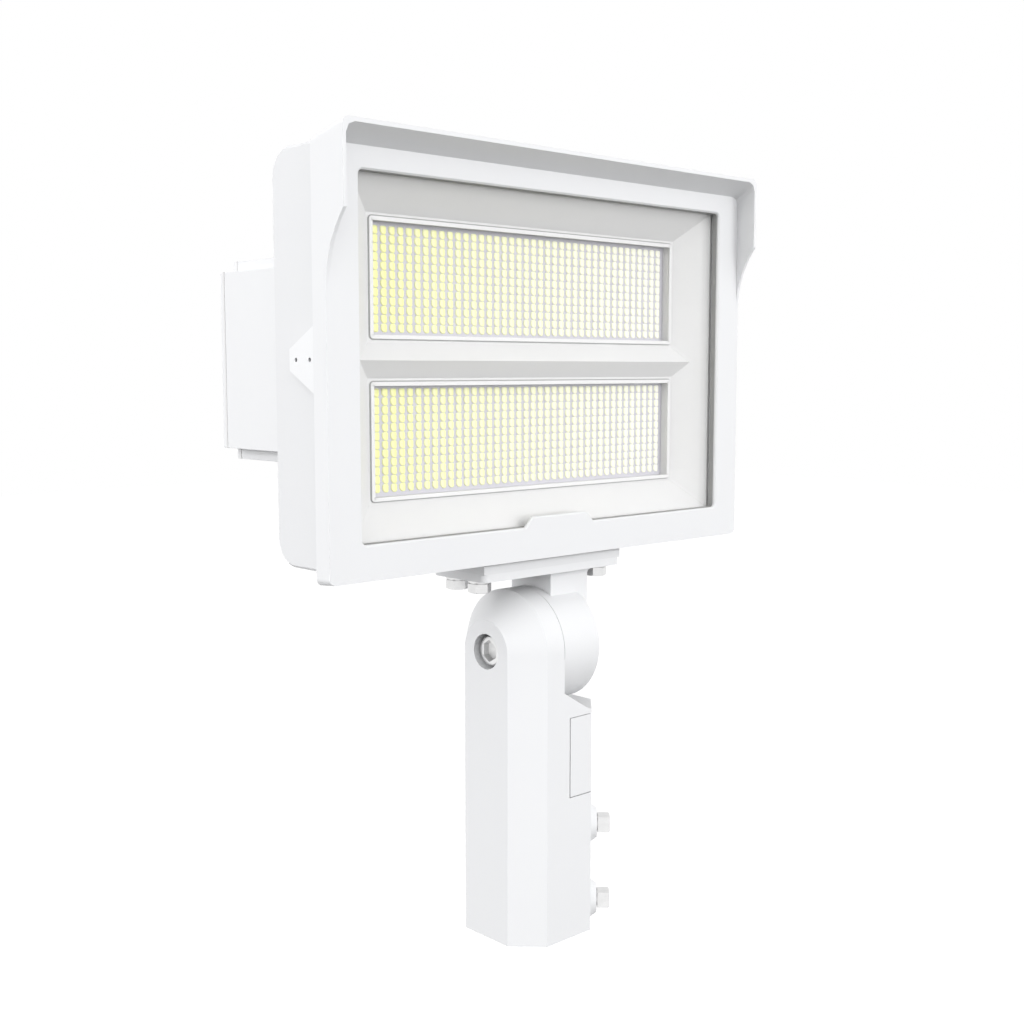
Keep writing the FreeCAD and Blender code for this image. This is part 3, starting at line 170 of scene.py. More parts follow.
def new_material(name):
    """An empty material and its node tree."""
    material = bpy.data.materials.new(name)
    material.use_nodes = True
    return material, material.node_tree


# Finishes

SURFACE_INPUTS = (("Tone", "Color"), ("Shade", "Color"), ("Gloss low", "Float"), ("Gloss high", "Float"))
RELIEF_INPUT = (("Relief scale", "Float"),)
SURFACE_OUTPUTS = (("Tint", "Color"), ("Gloss", "Float"), ("Relief", "Float"))

COAT_CLOUDS = 16.0
COAT_SPECKS = 1400.0
COAT_SPECK_PART = 0.35
COAT_SHADE_PART = 0.55
COAT_GLOSS_PATCHES = 130.0
METAL_STRETCH = (260.0, 260.0, 5200.0)
METAL_CLOUDS = 240.0
MOULD_CLOUDS = 60.0


def put_out(tree, given, result, share, gloss, relief):
    """Ends a surface group: a tone by a share of its shade, a gloss between its limits, and a relief."""
    tree.links.new(blend_tones(tree, share, given["Tone"], given["Shade"]), result["Tint"])
    tree.links.new(spread(tree, gloss, given["Gloss low"], given["Gloss high"]), result["Gloss"])
    tree.links.new(relief, result["Relief"])


def make_coat_group():
    """Powder coat: a faint cloudiness of tone, an uneven gloss and the coat's orange peel."""
    tree, given, result = new_group("powder_coat", SURFACE_INPUTS + RELIEF_INPUT, SURFACE_OUTPUTS)
    place = object_place(tree)
    cloud = grain(tree, place, COAT_CLOUDS, detail=4.0, roughness=0.6)
    speck = sums(tree, "MULTIPLY", grain(tree, place, COAT_SPECKS, detail=1.0), COAT_SPECK_PART)
    share = sums(tree, "MULTIPLY", sums(tree, "ADD", cloud, speck), COAT_SHADE_PART)
    patches = grain(tree, place, COAT_GLOSS_PATCHES, detail=3.0)
    peel = grain(tree, place, given["Relief scale"], detail=1.5)
    put_out(tree, given, result, share, patches, peel)
    return tree


def make_metal_group():
    """Machined metal: fine marks along one direction, a cloudy tone and an uneven gloss."""
    tree, given, result = new_group("machined_metal", SURFACE_INPUTS, SURFACE_OUTPUTS)
    place = object_place(tree)
    stretched = add(tree, "Mapping", {"Vector": place, "Scale": METAL_STRETCH}).outputs["Vector"]
    marks = grain(tree, stretched, 1.0, detail=3.0)
    cloud = grain(tree, place, METAL_CLOUDS, detail=3.0, roughness=0.6)
    share = sums(tree, "MULTIPLY", sums(tree, "ADD", marks, cloud), 0.5)
    put_out(tree, given, result, share, share, marks)
    return tree


def make_mould_group():
    """Moulded rubber, plastic and solder mask: a speckled tone and fine dimples."""
    tree, given, result = new_group("moulded_speckle", SURFACE_INPUTS + RELIEF_INPUT, SURFACE_OUTPUTS)
    place = object_place(tree)
    cells = add(tree, "TexVoronoi", {"Vector": place, "Scale": given["Relief scale"]}, feature="SMOOTH_F1")
    dimples = cells.outputs["Distance"]
    cloud = grain(tree, place, MOULD_CLOUDS, detail=4.0, roughness=0.6)
    share = sums(tree, "MULTIPLY", sums(tree, "ADD", cloud, dimples), 0.5)
    put_out(tree, given, result, share, cloud, dimples)
    return tree


COAT = make_coat_group()
METAL = make_metal_group()
MOULD = make_mould_group()
RELIEF_STRENGTH = 0.5


def shade(tone, part):
    """A tone made darker by a part of itself."""
    return tuple(c * (1 - part) for c in tone[:3]) + (1.0,)


def grey(value):
    """A neutral tone."""
    return (value, value, value, 1.0)


def finish(name, group, tone, darker, gloss, depth, relief=None, metallic=0.0):
    """A material from one of the surface groups.

    Its tone goes down to one darker by a part, and its gloss lies between two limits.
    The relief's depth is in millimetres, and its scale is a count in a metre."""
    material, tree = new_material(name)
    terms = {"Tone": tone, "Shade": shade(tone, darker), "Gloss low": gloss[0], "Gloss high": gloss[1]}
    if relief:
        terms["Relief scale"] = relief
    surface = add(tree, "Group", terms, node_tree=group)
    surface.name = "surface"
    height = surface.outputs["Relief"]
    bump = add(tree, "Bump", {"Strength": RELIEF_STRENGTH, "Distance": depth * MM, "Height": height})
    shader = tree.nodes["Principled BSDF"]
    tree.links.new(surface.outputs["Tint"], shader.inputs["Base Color"])
    tree.links.new(surface.outputs["Gloss"], shader.inputs["Roughness"])
    tree.links.new(bump.outputs["Normal"], shader.inputs["Normal"])
    shader.inputs["Metallic"].default_value = metallic
    return material


CASTING_TONE = (0.83, 0.836, 0.85, 1.0)
# The housing has the castings' white paint; its darker tone here is painted shade on its walls.
HOUSING_SHADED_TONE = (0.79, 0.796, 0.81, 1.0)
# A lighter tone of the same paint, painted light on the faces of the housing's side pads.
PAD_PAINTED_LIGHT_TONE = (0.86, 0.866, 0.88, 1.0)
BOARD_TONE = (0.68, 0.67, 0.73, 1.0)

WHITE_COAT = finish(
    "white_powder_coat", COAT, CASTING_TONE, darker=0.05, gloss=(0.36, 0.5), depth=0.05, relief=1000.0,
)
# The housing's coat carries painted shade on its walls and, on its side pads, painted light.
HOUSING_COAT_PAINTED_SHADE_AND_LIGHT = finish(
    "housing_coat_painted_shade_and_light", COAT, HOUSING_SHADED_TONE, darker=0.05, gloss=(0.4, 0.54), depth=0.06, relief=900.0,
)
STAINLESS = finish(
    "stainless_steel", METAL, grey(0.86), darker=0.26, gloss=(0.2, 0.4), depth=0.03, metallic=1.0,
)
GASKET_RUBBER = finish(
    "gasket_rubber", MOULD, grey(0.16), darker=0.3, gloss=(0.55, 0.75), depth=0.05, relief=900.0,
)
PALE_SILICONE = finish(
    "pale_silicone", MOULD, grey(0.8), darker=0.08, gloss=(0.5, 0.65), depth=0.05, relief=900.0,
)
REFLECTOR_WHITE = finish(
    "reflector_white", MOULD, grey(0.82), darker=0.06, gloss=(0.3, 0.42), depth=0.08, relief=620.0,
)
# Grey rubber for the lens gasket; the same grey is painted shadow in the groove round each reflector rim.
GREY_RUBBER_AND_GROOVE_SHADOW = finish(
    "grey_rubber_and_groove_shadow", MOULD, grey(0.4), darker=0.2, gloss=(0.5, 0.65), depth=0.03, relief=900.0,
)
# The rim is a lighter white than the reflector: a painted highlight where its lip catches the light.
RIM_PAINTED_HIGHLIGHT_WHITE = finish(
    "reflector_rim_painted_highlight", MOULD, grey(0.88), darker=0.03, gloss=(0.25, 0.35), depth=0.04, relief=620.0,
)
BOARD_MASK = finish(
    "board_solder_mask", MOULD, BOARD_TONE, darker=0.08, gloss=(0.3, 0.45), depth=0.02, relief=1500.0,
)
DRIVER_CASE = finish(
    "driver_case", MOULD, grey(0.6), darker=0.15, gloss=(0.35, 0.5), depth=0.03, relief=700.0,
)
SURGE_CASE = finish(
    "surge_case", MOULD, grey(0.05), darker=0.2, gloss=(0.4, 0.55), depth=0.03, relief=700.0,
)

# Of the housing, only the faces of the side pads lie further from the middle than this.
PAD_FACE = 178.0


def paint_light_on_pads(material):
    """Paints light on the faces of the housing's side pads: a brighter tone than the walls round them,
    though both have the same paint.
    """
    tree = material.node_tree
    surface = tree.nodes["surface"]
    aside = sums(tree, "ABSOLUTE", split_axes(tree, object_place(tree))["X"])
    # The mask marks where light is painted on the pads.
    painted_light_mask = sums(tree, "GREATER_THAN", aside, PAD_FACE * MM)
    for socket in (surface.inputs["Tone"], surface.inputs["Shade"]):
        tree.links.new(blend_tones(tree, painted_light_mask, tuple(socket.default_value), PAD_PAINTED_LIGHT_TONE), socket)


paint_light_on_pads(HOUSING_COAT_PAINTED_SHADE_AND_LIGHT)


# LED phosphor

CHIP_COLUMNS = 40
CHIP_ROWS = 12
CHIP_LEFT = -124.0
CHIP_LOW = 18.8
CHIP_PITCH_X = 6.36
CHIP_PITCH_Z = 5.12
PHOSPHOR_DEEP = (0.96, 0.97, 0.36, 1.0)
# Paler towards the right end of a board: a painted reflection.
PHOSPHOR_REFLECTION_PALE = (0.97, 0.97, 0.76, 1.0)
# A pale painted highlight on each chip, stronger towards the right end of a board.
PHOSPHOR_HIGHLIGHT = (0.98, 0.98, 0.93, 1.0)
# A faint glow that keeps the chips bright though the LEDs are not lit: painted light.
PHOSPHOR_PAINTED_GLOW = 0.1
PHOSPHOR_GLOSS = (0.25, 0.45)
PHOSPHOR_GLOSS_PATCHES = 900.0
# Places and widths of the painted highlight on each chip are parts of the chips' pitch.
HIGHLIGHT_PLACE_LEFT = 0.3
HIGHLIGHT_PLACE_RIGHT = 0.5
HIGHLIGHT_CORE = 0.06
HIGHLIGHT_EDGE = 0.32
HIGHLIGHT_STRENGTH_LEFT = 0.3
HIGHLIGHT_STRENGTH_RIGHT = 1.0
HIGHLIGHT_BLOTCHES = 420.0
HIGHLIGHT_BLOTCH_RANGE = (0.45, 0.9)


def make_phosphor():
    """LED phosphor: yellow, deeper towards the left end of a board; its paler right end is a painted
    reflection, each chip has a painted highlight, and a faint glow is painted light.
    """
    material, tree = new_material("led_phosphor")
    place = object_place(tree)
    x = split_axes(tree, place)["X"]
    ends = {"From Min": CHIP_LEFT * MM, "From Max": -CHIP_LEFT * MM}
    across = add(tree, "MapRange", {"Value": x, **ends}).outputs["Result"]
    column = sums(tree, "MULTIPLY_ADD", x, 1 / (CHIP_PITCH_X * MM), 0.5 - CHIP_LEFT / CHIP_PITCH_X)
    highlight_place = spread(tree, across, HIGHLIGHT_PLACE_LEFT, HIGHLIGHT_PLACE_RIGHT)
    aside = sums(tree, "ABSOLUTE", sums(tree, "SUBTRACT", sums(tree, "FRACT", column), highlight_place))
    fade = {"From Min": HIGHLIGHT_CORE, "From Max": HIGHLIGHT_EDGE, "To Min": 1.0, "To Max": 0.0}
    painted_highlight = add(tree, "MapRange", {"Value": aside, **fade}).outputs["Result"]
    blotch = spread(tree, grain(tree, place, HIGHLIGHT_BLOTCHES), *HIGHLIGHT_BLOTCH_RANGE)
    strength = spread(tree, across, HIGHLIGHT_STRENGTH_LEFT, HIGHLIGHT_STRENGTH_RIGHT)
    # How much painted highlight each place gets.
    pale = sums(tree, "MULTIPLY", sums(tree, "MULTIPLY", painted_highlight, blotch), strength)
    # Deep yellow at the left end, paler to the right as painted reflection.
    ground = blend_tones(tree, across, PHOSPHOR_DEEP, PHOSPHOR_REFLECTION_PALE)
    tint = blend_tones(tree, pale, ground, PHOSPHOR_HIGHLIGHT)
    gloss = spread(tree, grain(tree, place, PHOSPHOR_GLOSS_PATCHES), *PHOSPHOR_GLOSS)
    shader = tree.nodes["Principled BSDF"]
    tree.links.new(tint, shader.inputs["Base Color"])
    tree.links.new(tint, shader.inputs["Emission Color"])
    tree.links.new(gloss, shader.inputs["Roughness"])
    shader.inputs["Emission Strength"].default_value = PHOSPHOR_PAINTED_GLOW
    return material


PHOSPHOR = make_phosphor()


# Lens glass

GLASS_TONE = grey(0.99)
GLASS_IOR = 1.45
GLASS_HAZE = 0.03
GLASS_HAZE_PATCHES = 30.0


def make_lens_glass():
    """Clear tempered glass that lets the lamps' light through to the reflector."""
    material, tree = new_material("clear_glass")
    shader = tree.nodes["Principled BSDF"]
    shader.inputs["Transmission Weight"].default_value = 1.0
    shader.inputs["IOR"].default_value = GLASS_IOR
    shader.inputs["Base Color"].default_value = GLASS_TONE
    haze = spread(tree, grain(tree, object_place(tree), GLASS_HAZE_PATCHES, detail=3.0), 0.0, GLASS_HAZE)
    tree.links.new(haze, shader.inputs["Roughness"])
    path = add(tree, "LightPath").outputs
    lamp_light = sums(tree, "MAXIMUM", path["Is Shadow Ray"], path["Is Diffuse Ray"])
    surface = blend_shaders(tree, lamp_light, shader, add(tree, "BsdfTransparent"))
    tree.links.new(surface, tree.nodes["Material Output"].inputs["Surface"])
    return material


LENS_GLASS = make_lens_glass()


# Stage

FLOOR_HEIGHT = -0.36
FLOOR_SIZE = 14.0
FLOOR_TONE = grey(0.12)
FLOOR_SHOWN_LIGHT = 0.8
FLOOR_SHOWN_TONE = grey(0.3)
SKY_TONE = grey(1.0)
SKY_LIGHT_LOW = 1.4
SKY_LIGHT_HIGH = 0.6
LIGHT_TARGET = Vector((0.0, 0.0, 0.34))
# Each lamp's name, its place and width in metres, and its power in watts.
LAMPS = (
    ("left_lamp", Vector((-2.8, 0.2, 0.8)), 1.6, 35.0),
    ("front_lamp", Vector((0.5, -2.8, 0.9)), 1.8, 40.0),
)


def seen_directly(tree):
    """1 for rays from the camera, a mirror or glass, and 0 for the light that falls on the object."""
    path = add(tree, "LightPath").outputs
    direct = sums(tree, "MAXIMUM", path["Is Camera Ray"], path["Is Glossy Ray"])
    return sums(tree, "MAXIMUM", direct, path["Is Transmission Ray"])


def make_floor():
    """A floor that looks pale and keeps the object's shadow, but throws little light back up."""
    bm = bmesh.new()
    bmesh.ops.create_grid(bm, x_segments=2, y_segments=2, size=FLOOR_SIZE / 2)
    bmesh.ops.translate(bm, verts=bm.verts, vec=(0, 0, FLOOR_HEIGHT))
    mesh = bpy.data.meshes.new("studio_floor")
    bm.to_mesh(mesh)
    bm.free()
    floor = bpy.data.objects.new("studio_floor", mesh)
    scene.collection.objects.link(floor)
    material, tree = new_material("studio_floor")
    tree.nodes.clear()
    plain = add(tree, "BsdfDiffuse", {"Color": FLOOR_TONE})
    shown = add(tree, "BsdfDiffuse", {"Color": FLOOR_SHOWN_TONE})
    glow = add(tree, "Emission", {"Strength": FLOOR_SHOWN_LIGHT})
    both = add(tree, "AddShader")
    tree.links.new(shown.outputs[0], both.inputs[0])
    tree.links.new(glow.outputs[0], both.inputs[1])
    add(tree, "OutputMaterial", {"Surface": blend_shaders(tree, seen_directly(tree), plain, both)})
    mesh.materials.append(material)


def make_world():
    """A sky that is brightest near the ground; the camera, mirrors and glass see plain white."""
    world = bpy.data.worlds.new("studio")
    scene.world = world
    world.use_nodes = True
    tree = world.node_tree
    tree.nodes.clear()
    upward = split_axes(tree, add(tree, "TexCoord").outputs["Generated"])["Z"]
    light = spread(tree, upward, SKY_LIGHT_LOW, SKY_LIGHT_HIGH)
    sky = add(tree, "Background", {"Color": SKY_TONE, "Strength": light})
    white = add(tree, "Background", {"Color": SKY_TONE, "Strength": 1.0})
    add(tree, "OutputWorld", {"Surface": blend_shaders(tree, seen_directly(tree), sky, white)})


def make_lamp(name, place, size, power):
    """A square soft lamp that looks at the head and leaves no picture of itself in glass or metal."""
    data = bpy.data.lights.new(name, "AREA")
    data.shape = "SQUARE"
    data.size = size
    data.energy = power
    lamp = bpy.data.objects.new(name, data)
    scene.collection.objects.link(lamp)
    lamp.location = place
    aim(lamp, LIGHT_TARGET - place)
    lamp.visible_camera = False
    lamp.visible_glossy = False


make_floor()
make_world()
for lamp_values in LAMPS:
    make_lamp(*lamp_values)


# Building pieces

EDGE_ANGLE = math.radians(32)
EDGE_SEGMENTS = 2
FLAT_ANGLE = math.radians(0.6)
PIECE_WELD = 0.001
CAD_WELD = 0.01 * MM
RING_POINTS = 24


def bevel_edges(thing, width):
    """A narrow rounded edge on every corner of a piece, as a live modifier; width in millimetres."""
    edge = thing.modifiers.new("rounded_edges", "BEVEL")
    edge.width = width * MM
    edge.segments = EDGE_SEGMENTS
    edge.limit_method = "ANGLE"
    edge.angle_limit = EDGE_ANGLE
    edge.use_clamp_overlap = True


def make_piece(name, bm, body, material, replaced=(), edge=0.0):
    """Finishes a bmesh drawn in millimetres as a piece that rides on a body."""
    bmesh.ops.remove_doubles(bm, verts=bm.verts, dist=PIECE_WELD)
    bmesh.ops.recalc_face_normals(bm, faces=bm.faces)
    bmesh.ops.scale(bm, verts=bm.verts, vec=(MM, MM, MM))
    for face in bm.faces:
        face.smooth = True
    mesh = bpy.data.meshes.new(name)
    bm.to_mesh(mesh)
    bm.free()
    mesh.set_sharp_from_angle(angle=EDGE_ANGLE)
    mesh.materials.append(material)
    thing = bpy.data.objects.new(name, mesh)
    scene.collection.objects.link(thing)
    if edge:
        bevel_edges(thing, edge)
    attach(thing, body)
    if replaced:
        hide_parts(*replaced)
    return thing


def loose_solids(node):
    """The lowest and highest corner of each separate solid of a CAD node, in millimetres."""
    bm = bmesh.new()
    bm.from_mesh(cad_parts[node].data)
    bmesh.ops.remove_doubles(bm, verts=bm.verts, dist=CAD_WELD)
    waiting = set(bm.verts)
    boxes = []
    while waiting:
        reached = [waiting.pop()]
        for vert in reached:
            for edge in vert.link_edges:
                near = edge.other_vert(vert)
                if near in waiting:
                    waiting.remove(near)
                    reached.append(near)
        lows = [min(v.co[axis] for v in reached) / MM for axis in range(3)]
        highs = [max(v.co[axis] for v in reached) / MM for axis in range(3)]
        boxes.append((Vector(lows), Vector(highs)))
    bm.free()
    return sorted(boxes, key=lambda box: tuple(round(c, 2) for c in box[0]))


def seated(at, axis):
    """The matrix that seats a piece drawn up the Z axis at a point, along an axis."""
    return Matrix.Translation(at) @ UP.rotation_difference(axis).to_matrix().to_4x4()


def seats(node, axis, height):
    """For each screw of a CAD node: the matrix that seats it and its length below a head of that height."""
    for low, high in loose_solids(node):
        length = abs((high - low).dot(axis))
        seat = (low + high) / 2 + axis * (length / 2 - height)
        yield seated(seat, axis), length - height


def coat_node(node, material, edge):
    """Gives a CAD node its finish and, where a width is given, rounded edges."""
    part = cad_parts[node]
    part.data.materials.clear()
    part.data.materials.append(material)
    if not edge:
        return
    weld = part.modifiers.new("joined_faces", "WELD")
    weld.merge_threshold = CAD_WELD
    flat = part.modifiers.new("whole_faces", "DECIMATE")
    flat.decimate_type = "DISSOLVE"
    flat.angle_limit = FLAT_ANGLE
    bevel_edges(part, edge)
    part.modifiers.new("even_shading", "WEIGHTED_NORMAL")


# Rings that are skinned to screws, washers and the grommet

def disc(half, height):
    """A round ring of a radius at a height."""
    return half, height, 0, 0.0


def hexagon(half, height, drop=0.0):
    """A six-sided ring of half its width across flats; its corners drop by a part of their extra reach."""
    return half, height, 6, drop


def square(half, height):
    """A four-sided ring of half its width."""
    return half, height, 4, 0.0


def shape_ring(loop, half, height, sides, drop):
    """Brings a loop of vertices round the Z axis to a ring's shape; with no sides it is round."""
    for vert in loop:
        angle = math.atan2(vert.co.y, vert.co.x)
        reach = half
        if sides:
            step = TURN / sides
            reach = half / math.cos(angle % step - step / 2)
        vert.co = Vector((
            math.cos(angle) * reach,
            math.sin(angle) * reach,
            height - drop * (reach - half),
        ))


def skin_rings(bm, rings, place, closed=False):
    """Skins a row of rings and seats it by a matrix.

    A closed row goes back to its first ring, as a washer does; an open one has a face at each end."""
    circle = bmesh.ops.create_circle(bm, cap_ends=not closed, radius=1.0, segments=RING_POINTS)
    loop = circle["verts"]
    edges = list({e for v in loop for e in v.link_edges})
    verts = list(loop)
    shape_ring(loop, *rings[0])
    for ring in tuple(rings[1:]) + tuple(rings[:closed]):
        grown = bmesh.ops.extrude_edge_only(bm, edges=edges)["geom"]
        loop = [g for g in grown if isinstance(g, bmesh.types.BMVert)]
        sides = [g for g in grown if isinstance(g, bmesh.types.BMEdge)]
        edges = [e for e in sides if all(v in loop for v in e.verts)]
        shape_ring(loop, *ring)
        verts += loop
    if not closed:
        bmesh.ops.edgeloop_fill(bm, edges=edges)
    bmesh.ops.transform(bm, matrix=place, verts=verts)


# Shares of a shank's radius, a head's radius or height, or a socket's width.
TIP_RADIUS = 0.8
TIP_LENGTH = 0.3
HEAD_SHOULDER = 0.93
HEAD_SHOULDER_DROP = 0.3
HEAD_TOP = 0.8
SOCKET_MOUTH = 1.08
SOCKET_MOUTH_FOOT = 0.95
SOCKET_FLOOR = 0.6
SOCKET_POINT_RADIUS = 0.3
SOCKET_POINT = 0.52
COLLAR = 0.95
COLLAR_HEIGHT = 0.07
FLATS_LOW = 0.1
FLATS_HIGH = 0.97
CHAMFER_ROUND = 0.94
DISH_EDGE = 0.55
DISH_RADIUS = 0.5
DISH_FLOOR = 0.96
CORNER_DROP = 0.58
WASHER_EASE = 0.3
WASHER_EASE_PART = 0.25


def shank_rings(shank, length):
    """A plain shank from its chamfered tip up to the head's seat."""
    return (
        disc(shank * TIP_RADIUS, -length),
        disc(shank, -length + shank * TIP_LENGTH),
        disc(shank, 0),
    )


def socket_screw(bm, place, head, height, shank, length, socket, crown=0.25):
    """A screw with a round head, a hexagon socket and a plain shank below its seat."""
    skin_rings(bm, shank_rings(shank, length) + (
        disc(head, 0),
        disc(head, height * (1 - crown)),
        disc(head * HEAD_SHOULDER, height * (1 - crown * HEAD_SHOULDER_DROP)),
        disc(head * HEAD_TOP, height),
        hexagon(socket * SOCKET_MOUTH, height),
        hexagon(socket, height * SOCKET_MOUTH_FOOT),
        hexagon(socket, height * SOCKET_FLOOR),
        disc(socket * SOCKET_POINT_RADIUS, height * SOCKET_POINT),
    ), place)


def hex_bolt(bm, place, half_flats, height, shank, length):
    """A bolt with a dished hexagon head on a round collar, and a plain shank below its seat."""
    skin_rings(bm, shank_rings(shank, length) + (
        disc(half_flats * COLLAR, 0),
        disc(half_flats * COLLAR, height * COLLAR_HEIGHT),
        hexagon(half_flats, height * FLATS_LOW),
        hexagon(half_flats, height * FLATS_HIGH, CORNER_DROP),
        disc(half_flats * CHAMFER_ROUND, height),
        disc(half_flats * DISH_EDGE, height),
        disc(half_flats * DISH_RADIUS, height * DISH_FLOOR),
    ), place)


def washer(bm, place, inner, outer, thickness):
    """A flat washer with eased edges."""
    ease = min(WASHER_EASE, thickness * WASHER_EASE_PART)
    skin_rings(bm, (
        disc(inner, 0),
        disc(outer - ease, 0),
        disc(outer, ease),
        disc(outer, thickness - ease),
        disc(outer - ease, thickness),
        disc(inner + ease, thickness),
        disc(inner, thickness - ease),
    ), place, closed=True)


# Flat outlines that are raised to chips, rims and the seal

def round_corners(bm, corners, size, segments):
    """Rounds corners of a flat face."""
    bmesh.ops.bevel(
        bm, geom=corners, offset=size, affect="VERTICES", segments=segments, profile=0.5, material=-1,
    )


def flat_plate(bm, width, height):
    """A flat rectangle round the origin."""
    bmesh.ops.create_grid(bm, x_segments=1, y_segments=1, size=0.5)
    bmesh.ops.scale(bm, verts=bm.verts, vec=(width, height, 1))


def raise_faces(bm, faces, height):
    """Lifts faces off their plane on straight walls and returns the lifted faces."""
    lifted = bmesh.ops.extrude_face_region(bm, geom=faces)["geom"]
    verts = [g for g in lifted if isinstance(g, bmesh.types.BMVert)]
    bmesh.ops.translate(bm, verts=verts, vec=(0, 0, height))
    return [g for g in lifted if isinstance(g, bmesh.types.BMFace)]


def raise_frame(bm, width, height, place):
    """Makes a flat face a frame of a width and a height, and seats it by a matrix."""
    bm.normal_update()
    ring = bmesh.ops.inset_region(
        bm, faces=bm.faces[:], thickness=width, use_boundary=True, use_even_offset=True,
    )["faces"]
    bmesh.ops.delete(bm, geom=[f for f in bm.faces if f not in ring], context="FACES")
    raise_faces(bm, bm.faces[:], height)
    bmesh.ops.transform(bm, matrix=place, verts=bm.verts)


# LED boards

WINDOW_CENTRE = 375.0
BOARD_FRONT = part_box("led_board_upper")[0].y / MM
BOARDS = (("upper", 1), ("lower", -1))
CHIP_WIDTH = 4.2
CHIP_HEIGHT = 4.85
CHIP_WALL = 0.44
CHIP_DOME = 0.36
CHIP_CORNER = 0.7
CHIP_NOTCH = 1.5
CHIP_CROWN = 0.6


def repeat(thing, name, count, step):
    """Repeats a piece in a straight row; the step is in millimetres."""
    row = thing.modifiers.new(name, "ARRAY")
    row.count = count
    row.use_relative_offset = False
    row.use_constant_offset = True
    row.constant_offset_displace = Vector(step) * MM


def lower_left(vert):
    """Orders the vertices of a flat outline from its lower left corner."""
    return vert.co.x + vert.co.y


def make_chips():
    """One low domed chip with a cut lower left corner, repeated along its board's columns and rows."""
    for label, side in BOARDS:
        bm = bmesh.new()
        flat_plate(bm, CHIP_WIDTH, CHIP_HEIGHT)
        notched = min(bm.verts, key=lower_left)
        round_corners(bm, [v for v in bm.verts if v is not notched], CHIP_CORNER, segments=1)
        round_corners(bm, [min(bm.verts, key=lower_left)], CHIP_NOTCH, segments=1)
        crown = raise_faces(bm, bm.faces[:], CHIP_WALL)
        bmesh.ops.inset_region(bm, faces=crown, thickness=CHIP_CROWN, depth=CHIP_DOME)
        start = Vector((CHIP_LEFT, BOARD_FRONT, WINDOW_CENTRE + CHIP_LOW * side))
        bmesh.ops.transform(bm, matrix=seated(start, FORWARD), verts=bm.verts)
        chips = make_piece(f"led_chips_{label}", bm, "head", PHOSPHOR)
        repeat(chips, "columns", CHIP_COLUMNS, (CHIP_PITCH_X, 0, 0))
        repeat(chips, "rows", CHIP_ROWS, (0, 0, CHIP_PITCH_Z * side))


# Rims of the reflector's windows

REFLECTOR_FLOOR = 5.5
RIM_PLANE = BOARD_FRONT - REFLECTOR_FLOOR
RIM_HALF = 132.0
RIM_LOW = 12.4
RIM_HIGH = 82.0
RIM_WIDTH = 2.4
RIM_HEIGHT = 0.9
RIM_CORNER = 2.0
RIM_CORNER_SEGMENTS = 5
RIM_EDGE = 0.4
# A grey strip just outside each rim is painted shadow, standing in for the dark groove between rim and
# reflector.
GROOVE_SHADOW_WIDTH = 0.7
GROOVE_SHADOW_HEIGHT = 0.25


def window_frame(side, margin, width, height):
    """A flat frame on the reflector round a board's window, outside the window's rim by a margin."""
    bm = bmesh.new()
    flat_plate(bm, (RIM_HALF + margin) * 2, RIM_HIGH - RIM_LOW + margin * 2)
    round_corners(bm, bm.verts[:], RIM_CORNER + margin, RIM_CORNER_SEGMENTS)
    middle = Vector((0, RIM_PLANE, WINDOW_CENTRE + (RIM_LOW + RIM_HIGH) / 2 * side))
    raise_frame(bm, width, height, seated(middle, FORWARD))
    return bm


def make_rims():
    """The raised rim round each board window of the reflector, in a lighter white that paints its
    highlight, and a grey strip round the rim that paints the shadow in the groove there.
    """
    for label, side in BOARDS:
        rim = window_frame(side, 0, RIM_WIDTH, RIM_HEIGHT)
        make_piece(f"reflector_rim_{label}", rim, "head", RIM_PAINTED_HIGHLIGHT_WHITE, edge=RIM_EDGE)
        # Painted shadow of the groove round the rim.
        groove_shadow = window_frame(side, GROOVE_SHADOW_WIDTH, GROOVE_SHADOW_WIDTH, GROOVE_SHADOW_HEIGHT)
        make_piece(f"reflector_groove_shadow_{label}", groove_shadow, "head", GREY_RUBBER_AND_GROOVE_SHADOW)


# Driver box seal

SEAL_BOX_HALF = 159.6
SEAL_PAD_HALF = 169.1
SEAL_HIGH = 60.1
SEAL_PAD_HIGH = 53.1
SEAL_WIDTH = 4.0


def make_driver_seal():
    """The pale seal between the driver box and its cover, drawn to the cover's stepped outline."""
    low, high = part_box("driver_gasket")
    step = ((SEAL_BOX_HALF, SEAL_HIGH), (SEAL_BOX_HALF, SEAL_PAD_HIGH), (SEAL_PAD_HALF, SEAL_PAD_HIGH))
    bm = bmesh.new()
    outline = []
    for across, upward in ((1, 1), (1, -1), (-1, -1), (-1, 1)):
        corners = step if across == upward else step[::-1]
        outline += [bm.verts.new((x * across, z * upward, 0)) for x, z in corners]
    bm.faces.new(outline)
    rear = Vector((0, high.y / MM, WINDOW_CENTRE))
    raise_frame(bm, SEAL_WIDTH, (high.y - low.y) / MM, seated(rear, FORWARD))
    make_piece(
        "driver_cover_seal", bm, "head", PALE_SILICONE, replaced=("driver_gasket",),
    )


# Small socket screws

# Each CAD node with its body and the way its heads face, then the radius and height of a head,
# the radius of a shank and half the width of a socket.
SOCKET_SCREWS = (
    ("wiring_cover_screws", "arm", RIGHT, 4.25, 3.5, 2.5, 2.0),
    ("bezel_screws", "head", BACK, 3.5, 2.6, 2.0, 1.5),
    ("led_board_screws", "head", FORWARD, 2.75, 2.0, 1.5, 1.1),
    ("driver_unit_screws", "head", BACK, 3.75, 2.6, 2.0, 1.5),
    ("driver_cover_screws", "head", BACK, 3.75, 2.6, 2.0, 1.5),
)


def dress_screws(node, body, axis, head, height, shank, socket):
    """Socket-head screws in the place of a CAD node's plain ones."""
    bm = bmesh.new()
    for place, length in seats(node, axis, height):
        socket_screw(bm, place, head, height, shank, length, socket)
    name = node.replace("screws", "socket_screws")
    make_piece(name, bm, body, STAINLESS, replaced=(node,))


# Flange bolts

